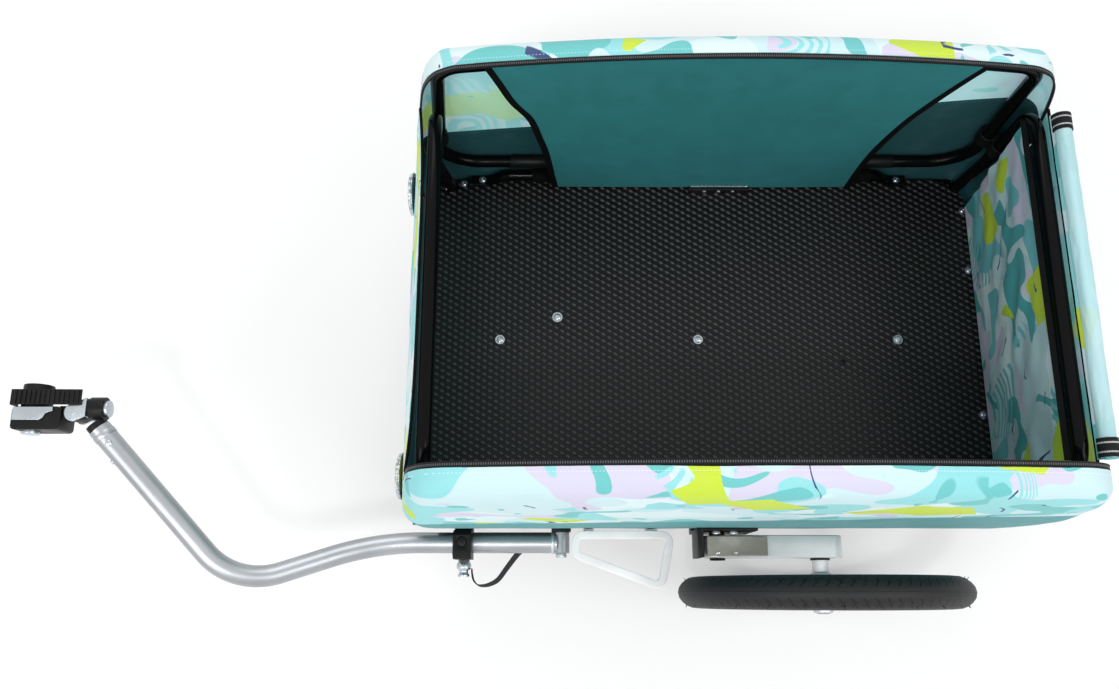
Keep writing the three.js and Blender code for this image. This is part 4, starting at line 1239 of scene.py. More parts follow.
@dataclass
class Studio:
    """Camera, lamps and floor. The eye is in millimetres from the axle, and the lamps are in metres."""

    eye: Triple = (357.0, 362.0, 1575.0)
    tilt: float = 14.55
    lens: float = 30.72
    shift: float = -0.0058
    aim: Triple = (0.0, 0.0, 0.25)
    white_seen: float = 1.0
    white_cast: float = 0.55
    ground_size: float = 14.0
    ground_glow: float = 0.3
    lamps: list[tuple[Triple, float, float]] = field(default_factory=lambda: [
        ((1.6, 1.9, 2.8), 1.9, 36.0),
        ((0.3, 1.5, 3.0), 0.3, 13.0),
        ((-2.0, 1.2, 2.6), 1.9, 34.0),
        ((0.2, -2.2, 2.4), 2.0, 30.0),
    ])

    def camera(self) -> None:
        """Sets up the camera at the photograph's viewing angle."""
        lens = bpy.data.cameras.new("camera")
        lens.sensor_width = 36
        lens.lens = self.lens
        lens.shift_x = self.shift
        lens.clip_start = 0.01
        camera = bpy.data.objects.new("camera", lens)
        angle = math.radians(self.tilt)
        right = Vector((-1, 0, 0))
        up = Vector((0, -math.cos(angle), math.sin(angle)))
        back = Vector((0, math.sin(angle), math.cos(angle)))
        turn = Matrix((right, up, back)).transposed().to_4x4()
        camera.matrix_world = Matrix.Translation(spot(*self.eye)) @ turn
        bpy.context.scene.collection.objects.link(camera)
        bpy.context.scene.camera = camera

    def light(self) -> None:
        """Adds soft lamps and an even white world."""
        for number, (place, size, power) in enumerate(self.lamps):
            lamp = bpy.data.lights.new(f"softbox {number}", "AREA")
            lamp.size = size
            lamp.energy = power
            piece = bpy.data.objects.new(f"softbox {number}", lamp)
            piece.location = place
            piece.rotation_euler = (Vector(self.aim) - Vector(place)).to_track_quat("-Z", "Y").to_euler()
            bpy.context.scene.collection.objects.link(piece)
        world = bpy.data.worlds.new("studio")
        world.use_nodes = True
        nodes, links = world.node_tree.nodes, world.node_tree.links
        background = nodes["Background"]
        rays = nodes.new("ShaderNodeLightPath")
        seen = nodes.new("ShaderNodeMath")
        seen.operation = "MAXIMUM"
        links.new(rays.outputs["Is Camera Ray"], seen.inputs[0])
        links.new(rays.outputs["Is Glossy Ray"], seen.inputs[1])
        strength = nodes.new("ShaderNodeMapRange")
        strength.inputs["To Min"].default_value = self.white_cast
        strength.inputs["To Max"].default_value = self.white_seen
        links.new(seen.outputs[0], strength.inputs["Value"])
        links.new(strength.outputs["Result"], background.inputs["Strength"])
        background.inputs["Color"].default_value = (1, 1, 1, 1)
        bpy.context.scene.world = world
        bpy.context.scene.view_settings.view_transform = "Standard"

    def ground(self) -> None:
        """Lays a pale floor that keeps the trailer's shadow."""
        bpy.ops.object.select_all(action="DESELECT")
        bpy.ops.mesh.primitive_plane_add(size=self.ground_size)
        floor = bpy.context.object
        floor.name = "studio_floor"
        graph = Graph("studio floor")
        place = graph.place()
        clouds = graph.noise(place, 1.5, 2.0)
        color = graph.mix(clouds, tone(250, 250, 250), tone(253, 253, 253))
        floor.data.materials.append(graph.dress(color, 0.9))
        tree = graph.tree
        rays = tree.nodes.new("ShaderNodeLightPath")
        glow = graph.node("ShaderNodeEmission", {}, {"Color": (1.0, 1.0, 1.0), "Strength": 1.0})
        output = tree.nodes["Material Output"]
        share = Value(graph, rays.outputs["Is Camera Ray"]) * self.ground_glow
        sheet = Value(graph, graph.shader.outputs[0])
        mixed = graph.node("ShaderNodeMixShader", {}, {0: share, 1: sheet, 2: glow})
        graph.feed(output.inputs["Surface"], mixed)


# The tub's frame


@dataclass
class TubFrame:
    """Floor, rails, hoops and clamps. Its sizes are in millimetres."""

    frame: Frame
    looks: Finishes
    tube: float = 9.0
    side_bottom: float = 258.0
    side_top: float = 586.0
    side_bottom_y: float = 263.5
    side_top_y: float = 246.5
    side_front: float = 545.0
    side_rear: float = -240.0
    lean_front: float = 33.0
    lean_rear: float = 24.0
    shoulder_drop: float = 38.0
    crown_drop: float = 3.4
    end_levels: tuple[tuple[float, float], ...] = ((252, 186.3), (243, 300.0), (230, 478.0))
    sleeve_half: float = 30.0
    sleeve_wall: float = 0.9
    tab_wall: float = 1.4
    rail_y: float = 261.0
    rail_rear: float = -146.0
    rail_front: float = 478.0
    rail_ramp: float = 26.0
    rail_seat: float = 193.3
    rail_height: float = 214.0
    screws: tuple[tuple[float, float, float, float], ...] = (
        (456, -5, 190, 5.2), (159, -5, 190, 5.2), (-141, -5, 190, 5.2), (370, -40, 190, 5.6),
        (-259, -212, 190, 4.4), (-259, -114, 190, 4.6), (-257, 110, 190, 4.6), (517, -257, 190, 4.0),
        (487, -261, 196.4, 4.2), (487, 261, 196.4, 4.2), (-158, -261, 196.4, 4.2), (-158, 261, 196.4, 4.2),
    )

    def side_y(self, z: float) -> float:
        """How far out a side hoop is at a height."""
        share = (z - self.side_bottom) / (self.side_top - self.side_bottom)
        return self.side_bottom_y + (self.side_top_y - self.side_bottom_y) * share

    def side_path(self, sign: int) -> list[Vector]:
        """The middle line of a side hoop.

        Args:
            sign: Plus one on the left, minus one on the right.

        Returns:
            The line's points.
        """
        front, rear = self.side_front - self.lean_front, self.side_rear + self.lean_rear
        span = front - rear
        shoulder, crown = self.side_top - self.shoulder_drop, self.side_top - self.crown_drop
        outline = [
            (self.side_front, self.side_bottom), (front, shoulder), (rear + span * 0.7, crown),
            (rear + span * 0.3, crown), (rear, shoulder), (self.side_rear, self.side_bottom),
        ]
        corners = [spot(x, sign * self.side_y(z), z) for x, z in outline]
        return bent(corners, (55, 38, 380, 380, 38, 55), 12, True)

    def end_path(self, *places: float) -> list[Vector]:
        """The middle line of the front or rear hoop.

        Args:
            places: Millimetres ahead of the axle, of its foot, its knee and its top.

        Returns:
            The line's points.
        """
        left = [(x, y, z) for x, (y, z) in zip(places, self.end_levels)]
        right = [(x, -y, z) for x, y, z in reversed(left)]
        corners = [spot(*point) for point in (*left, *right)]
        return bent(corners, (0, 150, 42, 42, 150, 0), 12)

    def rail_path(self, sign: int) -> list[Vector]:
        """The middle line of a side rail.

        Args:
            sign: Plus one on the left, minus one on the right.

        Returns:
            The line's points.
        """
        rear, front, ramp = self.rail_rear, self.rail_front, self.rail_ramp
        seat, high = self.rail_seat, self.rail_height
        line = ((rear - ramp, seat), (rear, seat), (rear + ramp, high),
                (front - ramp, high), (front, seat), (front + ramp, seat))
        return bent([spot(x, sign * self.rail_y, z) for x, z in line], (0, 30, 30, 30, 30, 0), 8)

    def flattened_rail(self, side: Side) -> Piece:
        """A side rail whose ends are pressed flat for their screws.

        Args:
            side: The trailer's side.

        Returns:
            The rail.
        """
        piece = Bench.tube(f"side_rail_tube_{side.word}", self.rail_path(side.sign), self.tube)
        for vertex in piece.data.vertices:
            x = vertex.co.x / MM - AXLE
            ramp = min(x - self.rail_rear, self.rail_front - x) / self.rail_ramp
            rise = min(max(ramp, 0.0), 1.0)
            keep = 0.34 + 0.66 * rise * rise * (3 - 2 * rise)
            middle = (self.rail_seat + (self.rail_height - self.rail_seat) * rise) * MM
            vertex.co.z = middle + (vertex.co.z - middle) * keep
        return piece

    def screw(self, name: str, x: float, y: float, z: float, radius: float) -> Piece:
        """A domed screw head with a socket, on a washer.

        Args:
            name: The piece's name.
            x: Millimetres ahead of the axle.
            y: Millimetres to the left of the middle.
            z: Millimetres above the ground.
            radius: Its head's radius in millimetres.

        Returns:
            The screw.
        """
        shares = ((0, 1.3), (0.32, 1.3), (0.36, 3.0), (0.62, 3.0), (0.86, 2.3), (1, 1.0), (1, 0.9),
                  (1.35, 0.9), (1.4, 0.4), (1.4, 0.0), (0, 0))
        profile = [(radius * share, high) for share, high in shares]
        return Bench.turned(name, profile, spot(x, y, z), UPWARDS, 24)

    def clip(self) -> None:
        """The clip that grips the lining at the floor's edge."""
        grip = Bench.block("floor_clip", spot(73, -248.6, 190.2), spot(167, -241, 203.4), 1.2)
        hand_over(grip, "tub", self.looks.plastic)
        lip = Bench.block("floor_clip_lip", spot(75, -248.4, 203.5), spot(165, -246.2, 204.7), 0.4)
        hand_over(lip, "tub", self.looks.zinc)
        profile = [(0, 1.2), (1.6, 1.2), (3.2, 0.6), (3.4, 0), (0, 0)]
        for number, x in enumerate((98, 120, 142)):
            screw = Bench.turned(f"clip_screw_{number}", profile, spot(x, -241, 197), SIDEWAYS, 20)
            hand_over(screw, "tub", self.looks.zinc)

    def floor(self) -> None:
        """The floor sheet's finish and the bars under it."""
        sheet = self.frame["nodes"]["floor_panel"]
        sheet.data.materials.clear()
        sheet.data.materials.append(self.looks.floor.material)
        for name in ("cross_tube_front", "cross_tube_middle", "cross_tube_rear", "frame_rail_left",
                     "frame_rail_right"):
            bar = name.replace("frame_rail", "lower_rail") + "_bar"
            stand_in(self.frame, name, bar, "tub", self.looks.tube, 2.0)

    def side(self, side: Side) -> None:
        """One side's hoop and rail, with their clamps, sleeves and tabs.

        Args:
            side: The trailer's side.
        """
        looks, word = self.looks, side.word
        hoop = Bench.tube(f"side_hoop_tube_{word}", self.side_path(side.sign), self.tube, True)
        hand_over(hoop, "tub", looks.tube, f"side_hoop_{word}")
        hand_over(self.flattened_rail(side), "tub", looks.tube, f"side_rail_{word}")
        for end in ("front", "rear"):
            name = f"clamp_{end}_{word}"
            stand_in(self.frame, "hoop_" + name, name, "tub", looks.plastic, 1.6, 3)
        hoop_y, rail_y = side.sign * self.side_bottom_y, side.sign * self.rail_y
        for number, (x, rear, front) in enumerate(((410, 383, 409), (-102, -110, -73))):
            start, end = x - self.sleeve_half, x + self.sleeve_half
            sleeve = Bench.rod(f"hoop_sleeve_{word}_{number}", spot(start, hoop_y, self.side_bottom),
                               spot(end, hoop_y, self.side_bottom), self.tube + self.sleeve_wall)
            hand_over(sleeve, "tub", looks.plastic)
            tab = Bench.rod(f"rail_tab_{word}_{number}", spot(rear, rail_y, self.rail_height),
                            spot(front, rail_y, self.rail_height), self.tube + self.tab_wall, edge=0.8)
            hand_over(tab, "tub", looks.binding)

    def build(self) -> None:
        """Makes the frame's pieces."""
        looks = self.looks
        self.floor()
        for side in Side:
            self.side(side)
        for name, *places in (("front", 535, 546, 522), ("rear", -252, -252, -237)):
            hoop = Bench.tube(f"{name}_hoop_tube", self.end_path(*places), self.tube)
            hand_over(hoop, "tub", looks.tube, f"{name}_hoop")
        for number, place in enumerate(self.screws):
            hand_over(self.screw(f"floor_screw_{number}", *place), "tub", looks.zinc)
        profile = [(0, 1.6), (2.6, 1.4), (4, 0.5), (4, 0), (0, 0)]
        hand_over(Bench.turned("floor_rivet", profile, spot(-55, 30, 190), UPWARDS, 24), "tub", looks.plastic)
        self.clip()


# Cloth


@dataclass
class Cloth:
    """Covers, linings, zips and the rolled roof. Its sizes are in millimetres."""

    frame: Frame
    looks: Finishes
    front: float = 580.0
    rear: float = -281.0
    hem: float = 172.0
    top: float = 604.0
    half_width: float = 277.0
    sag: float = 42.0
    corner: float = 25.0
    zip_y: float = 232.2
    zip_width: float = 6.2
    zip_gap: float = 0.3
    zip_sink: float = 1.25
    corner_steps: int = 8
    length_steps: int = 44
    wall_steps: int = 56
    roll_x: float = -260.4
    roll_z: float = 493.5
    roll_radius: float = 9.6
    roll_end: float = 214.5
    strap_y: float = 203.0
    front_bow: float = 7.0
    bow_start: float = 300.0
    rear_lining_foot: tuple[float, float] = (-261.0, 197.0)
    rear_lining_reach: tuple[float, float] = (37.0, 279.0)
    rear_lining_half: float = 215.0
    flap_foot: tuple[float, float] = (-249.6, 487.4)
    flap_reach: tuple[float, float] = (-4.6, 12.4)
    flap_half: float = 216.0
    lining_bottom: float = 198.0
    lining_height: float = 390.0
    lining_drop: float = 14.0
    lining_foot: tuple[float, float] = (250.2, 197.0)
    lining_lean: tuple[float, float] = (13.6, 393.0)
    under_half: float = 268.0
    under_height: float = 182.6
    lining_front: tuple[tuple[float, float], ...] = (
        (374, 198), (381, 280), (386, 333), (394, 385), (404, 442), (424, 492), (439, 550), (449, 588),
    )
    lining_rear: tuple[tuple[float, float], ...] = (
        (-80, 198), (-79, 270), (-80, 325), (-86, 385), (-96, 445), (-111, 500), (-126, 550), (-139, 588),
    )
    level_shares: tuple[tuple[float, float, float, float, float], ...] = (
        (0, 0.982, 0.008, 0.993, 1.8), (0.18, 0.996, 0.002, 1, 1.4), (0.39, 1, 0, 0.988, 1.1),
        (0.58, 0.993, 0.007, 0.973, 1), (0.75, 0.987, 0.027, 0.959, 1), (0.895, 0.978, 0.048, 0.945, 0.9),
        (0.963, 0.962, 0.067, 0.928, 0.7), (0.989, 0.93, 0.085, 0.91, 0.45), (1, 0.89, 0.104, 0.891, 0.2),
        (1, 0.8516, 0.128, 0.868, 0.04),
    )

    def top_at(self, x: float) -> float:
        """The height of the cover's top edge at a place along it."""
        share = (x - (self.front + self.rear) / 2) / ((self.front - self.rear) / 2)
        return self.top - 3 - self.sag * share * share

    def height_at(self, x: float, share: float) -> float:
        """The height at a share of the way up the cover, at a place along it."""
        return self.hem + (self.top_at(x) - self.hem) * min(share, 1.0)

    def dense_rows(self, steps: int = 5) -> list[Vector]:
        """The cover's levels, smoothly filled in between: height, half width, rear and front shares."""
        return flowing([Vector(row[:4]) for row in self.level_shares], steps)

    def corner_share(self, height: float, width: float) -> float:
        """The corner's share of its full radius at a level.

        Args:
            height: The level's height, as a share of the cover's.
            width: Its half width, as a share of the widest.

        Returns:
            The corner's share.
        """
        corners = [(row[0], row[4]) for row in self.level_shares]
        if height >= 0.9995:
            return 0.2 if width > 0.875 else 0.06
        for (low, at_low), (high, at_high) in zip(corners, corners[1:]):
            if low <= height <= high and high > low:
                return at_low + (at_high - at_low) * (height - low) / (high - low)
        return corners[-1][1]

    def level(self, row: Vector, sign: int) -> list[Vector]:
        """One level of a side cover, from its front edge round to its rear edge.

        Args:
            row: Its height, half width, rear and front shares.
            sign: Plus one on the left, minus one on the right.

        Returns:
            The level's points.
        """
        length = self.front - self.rear
        half = self.half_width * row[1]
        rear, front = self.rear + length * row[2], self.rear + length * row[3]
        start = self.zip_y + self.zip_width / 2 + self.zip_gap
        radius = max(min(self.corner * self.corner_share(row[0], row[1]), half - start - 1), 0.2)
        turns = [step * math.pi / (2 * self.corner_steps) for step in range(self.corner_steps + 1)]
        quarter = [(math.cos(turn) * radius, math.sin(turn) * radius) for turn in turns]
        straight = [front - radius + (rear - front + 2 * radius) * step / self.length_steps
                    for step in range(1, self.length_steps)]
        line = [(front, start)]
        line += [(front - radius + cosine, half - radius + sine) for cosine, sine in quarter]
        line += [(x, half) for x in straight]
        line += [(rear + radius - sine, half - radius + cosine) for cosine, sine in quarter]
        line.append((rear, start))
        return [spot(x, sign * y, self.height_at(x, row[0])) for x, y in line]

    def puckered(self, piece: Piece, out: Callable[[Vector], Vector], depth: float, size: Triple) -> None:
        """Moves a sheet's points outwards by a soft, uneven amount.

        Args:
            piece: The sheet.
            out: The outward direction at a point.
            depth: The most that a point moves, in millimetres.
            size: The waves per metre along each direction.
        """
        for vertex in piece.data.vertices:
            place = vertex.co
            seed = Vector((place.x * size[0], place.y * size[1], place.z * size[2]))
            wave = 0.65 * noise.noise(seed) + 0.35 * noise.noise(seed * 2.3 + Vector((5, 1, 9)))
            vertex.co = place + out(place) * (max(wave + 0.25, 0.0) * depth * MM)

    def side_cover(self, side: Side) -> None:
        """A side of the tub, curved over at its top and round its ends.

        Args:
            side: The trailer's side.
        """
        rows = [self.level(row, side.sign) for row in self.dense_rows()]
        piece = Bench.net(f"tub_side_{side.word}", rows)
        self.puckered(piece, lambda place: Vector((0, side.sign, 0)), 1.8, (7, 7, 12))
        self.face(piece, len(piece.data.polygons) // 2, SIDEWAYS * side.sign)
        Bench.thick(piece, 1.6)
        hand_over(piece, "tub", self.looks.side_print, f"side_cover_{side.word}")

    def face(self, piece: Piece, number: int, out: Vector) -> None:
        """Turns a sheet's faces so that one of them looks outwards.

        Args:
            piece: The sheet.
            number: The face that is looked at.
            out: The direction in which it has to look.
        """
        Bench.edit(piece, lambda: bpy.ops.mesh.normals_make_consistent(inside=False))
        if piece.data.polygons[number].normal.dot(out) < 0:
            Bench.edit(piece, lambda: bpy.ops.mesh.flip_normals())

    def profile(self, column: int, steps: int = 5) -> list[tuple[float, float]]:
        """An end wall's places and heights, from its hem to its top.

        Args:
            column: The shares' column of the wall: 2 for the rear, 3 for the front.
            steps: Steps between each two levels.

        Returns:
            Points as place along the trailer and height.
        """
        length = self.front - self.rear
        places = [(self.rear + length * row[column], row[0]) for row in self.dense_rows(steps)]
        return [(x, self.height_at(x, share)) for x, share in places]

    def end_cover(self, name: str, column: int, top: float, out: int, finish: Finish) -> None:
        """The front or rear wall, with a bound top and a few soft folds.

        Args:
            name: Front or rear.
            column: The shares' column of the wall.
            top: The height of its top edge in millimetres.
            out: Plus one at the front, minus one at the rear.
            finish: Its finish.
        """
        half = self.zip_y - self.zip_width / 2 - self.zip_gap
        shares = [1 - 2 * step / self.wall_steps for step in range(self.wall_steps + 1)]
        bow = self.front_bow if out > 0 else 0.0
        rows = []
        for x, z in self.profile(column, 8):
            if z < top:
                inwards = bow * max(z - self.bow_start, 0) / (top - self.bow_start)
                rows.append([spot(x - inwards * (1 - share ** 4), half * share, z) for share in shares])
        edge = [point - FORWARDS * (out * 0.8 * MM) for point in rows[-1]]
        piece = Bench.net(f"tub_{name}", rows)
        self.puckered(piece, lambda place: Vector((out, 0, 0)), 2.4, (5, 8, 15))
        self.face(piece, 0, FORWARDS * out)
        Bench.thick(piece, 1.6)
        hand_over(piece, "tub", finish, f"{name}_cover")
        hem = Bench.tube(f"{name}_wall_binding", edge, 1.9, sides=3)
        hand_over(hem, "tub", self.looks.binding)

    def zip_line(self, sign: int) -> list[Vector]:
        """The middle line of an edge zip.

        Args:
            sign: Plus one on the left, minus one on the right.

        Returns:
            The line's points.
        """
        front = [(x - self.zip_sink, z) for x, z in self.profile(3)]
        rear = [(x + self.zip_sink, z) for x, z in self.profile(2)]
        start, end = front[-1][0], rear[-1][0]
        ridge = [start + (end - start) * step / 60 for step in range(1, 60)]
        line = (*front, *((x, self.top_at(x)) for x in ridge), *reversed(rear))
        return [spot(x, sign * self.zip_y, z) for x, z in line]

    def zips(self, side: Side) -> None:
        """The zip along the cover's edge.

        Args:
            side: The trailer's side.
        """
        path = self.zip_line(side.sign)
        piece = Bench.band(f"zip_{side.word}", path, self.zip_width, 2.2, SIDEWAYS, crown=0.6)
        hand_over(piece, "tub", self.looks.zip, f"edge_zip_{side.word}")

    def side_lining(self, side: Side) -> None:
        """A teal lining panel, taut, with its bound edges curving in to the floor.

        Args:
            side: The trailer's side.
        """
        front, rear = (flowing([Vector((*point, 0)) for point in edge], 6)
                       for edge in (self.lining_front, self.lining_rear))
        bottom, height = self.lining_bottom, self.lining_height
        (foot_y, foot_z), (lean, rise) = self.lining_foot, self.lining_lean
        rows = []
        for ahead, behind in zip(front, rear):
            row = []
            for step in range(41):
                x, z, _ = ahead + (behind - ahead) * (step / 40)
                z = bottom + (z - bottom) * (self.top_at(x) - self.lining_drop - bottom) / height
                row.append(spot(x, side.sign * (foot_y - lean * (z - foot_z) / rise), z))
            rows.append(row)
        piece = Bench.net(f"side_lining_{side.word}", rows)
        self.puckered(piece, lambda place: Vector((0, -side.sign, 0)), 1.6, (6, 6, 10))
        Bench.thick(piece, 1.4, 0.0)
        hand_over(piece, "tub", self.looks.teal, f"inner_side_panel_{side.word}")
        for number, column in enumerate((0, -1)):
            edge = [row[column] for row in rows]
            binding = Bench.band(f"lining_binding_{side.word}_{number}", edge, 9.0, 3.0, FORWARDS, crown=0.5)
            hand_over(binding, "tub", self.looks.binding)

    def rear_lining(self) -> None:
        """The printed lining of the rear wall, loose and creased, with a bound top."""
        foot, bottom = self.rear_lining_foot
        lean, height = self.rear_lining_reach
        rows = []
        for up in range(33):
            share = up / 32
            z = bottom + height * share
            loose = math.sin(math.pi * share) ** 0.7
            row = []
            for step in range(self.wall_steps + 1):
                y = self.rear_lining_half * (1 - 2 * step / self.wall_steps)
                crease = noise.noise(Vector((y * 0.018, z * 0.03 + y * 0.012, 2.2)))
                fold = noise.noise(Vector((y * 0.05, z * 0.045, 7.1)))
                row.append(spot(foot + lean * share + loose * (5.5 * crease + 2.6 * fold), y, z))
            rows.append(row)
        piece = Bench.net("rear_lining", rows)
        Bench.thick(piece, 1.4, 0.0)
        hand_over(piece, "tub", self.looks.lining_print, "inner_rear_panel")
        edge = [point + Vector((3.6, 0, 1.4)) * MM for point in rows[-1]]
        binding = Bench.band("rear_lining_binding", edge, 7.0, 1.6, FORWARDS, crown=0.5)
        hand_over(binding, "tub", self.looks.binding)

    def floor_flap(self, name: str, rear: float, front: float) -> None:
        """A flap of the cover that reaches in under the floor's edge, in a dark teal that is painted shade.

        Args:
            name: Front or rear.
            rear: Its rear edge, in millimetres ahead of the axle.
            front: Its front edge, in the same way.
        """
        places = [rear + (front - rear) * step / 4 for step in range(5)]
        across = [self.under_half * (1 - 2 * row / 40) for row in range(41)]
        rows = [[spot(x, y, self.under_height) for x in places] for y in across]
        piece = Bench.net(f"floor_flap_{name}", rows)
        Bench.thick(piece, 1.2, 0.0)
        hand_over(piece, "tub", self.looks.flap)

    def about(self, angle: float, radius: float, y: float) -> Vector:
        """A point at an angle and a distance from the roll's middle line."""
        return spot(self.roll_x + math.cos(angle) * radius, y, self.roll_z + math.sin(angle) * radius)

    def rolled_cloth(self) -> list[list[Vector]]:
        """Rings along the roll: uneven, and pinched where the straps go round.

        Returns:
            The rings' points.
        """
        rows = []
        for station in range(91):
            y = self.roll_end * (2 * station / 90 - 1)
            pinch = max(0.0, 1 - abs(abs(y) - self.strap_y) / 18)
            ring = []
            for turn in range(65):
                angle = turn / 64 * math.tau
                seed = Vector((math.cos(angle) * 1.1, math.sin(angle) * 1.1, y * 0.012))
                puff = 1.0 * noise.noise(seed) + 0.6 * noise.noise(Vector((angle * 2.5, y * 0.05, 3.0)))
                radius = self.roll_radius - 1.4 * turn / 64 + puff * (1 - pinch) - pinch * 0.4
                ring.append(self.about(angle, radius, y))
            rows.append(ring)
        return rows

    def roll(self) -> None:
        """The roof cover, rolled up: loose turns of cloth, a printed edge and two elastic straps."""
        piece = Bench.net("rolled_roof", self.rolled_cloth())
        Bench.edit(piece, lambda: bpy.ops.mesh.remove_doubles(threshold=WELD))
        Bench.thick(piece, 1.2)
        hand_over(piece, "tub", self.looks.rolled, "rolled_cover")
        self.roof_flap()
        for side in Side:
            end, strap_y = side.sign * (self.roll_end - 0.5), side.sign * self.strap_y
            shares = [step / 119 for step in range(120)]
            coil = [self.about(share * math.tau * 4.5, self.roll_radius - 1.3 - 6.8 * share, end)
                    for share in shares]
            wound = Bench.band(f"roof_turns_{side.word}", coil, 3.0, 1.4, SIDEWAYS)
            hand_over(wound, "tub", self.looks.print)
            loop = [self.about(step / 48 * math.tau, self.roll_radius + 1.3, strap_y) for step in range(48)]
            strap = Bench.band(f"roll_elastic_{side.word}", loop, 22, 1.4, SIDEWAYS, True)
            hand_over(strap, "tub", self.looks.elastic, f"roll_strap_{side.word}")

    def roof_flap(self) -> None:
        """The printed edge that goes from the rear wall's top up to the roll."""
        (foot, bottom), (lean, height) = self.flap_foot, self.flap_reach
        shares = [step / 6 for step in range(7)]
        rows = []
        for row in range(61):
            y = self.flap_half * (1 - 2 * row / 60)
            sag = 0.8 * noise.noise(Vector((y * 0.03, 1.0, 4.0)))
            rows.append([spot(foot + lean * share, y, bottom + height * share + sag) for share in shares])
        piece = Bench.net("roof_flap", rows)
        Bench.thick(piece, 1.0, 0.0)
        hand_over(piece, "tub", self.looks.print)

    def build(self) -> None:
        """Makes the cloth pieces."""
        for side in Side:
            self.side_cover(side)
            self.zips(side)
            self.side_lining(side)
        self.end_cover("front", 3, 488, 1, self.looks.front_print)
        self.end_cover("rear", 2, 487, -1, self.looks.side_print)
        self.floor_flap("front", 547, 577)
        self.floor_flap("rear", -277, -251)
        self.rear_lining()
        self.roll()


# Running gear


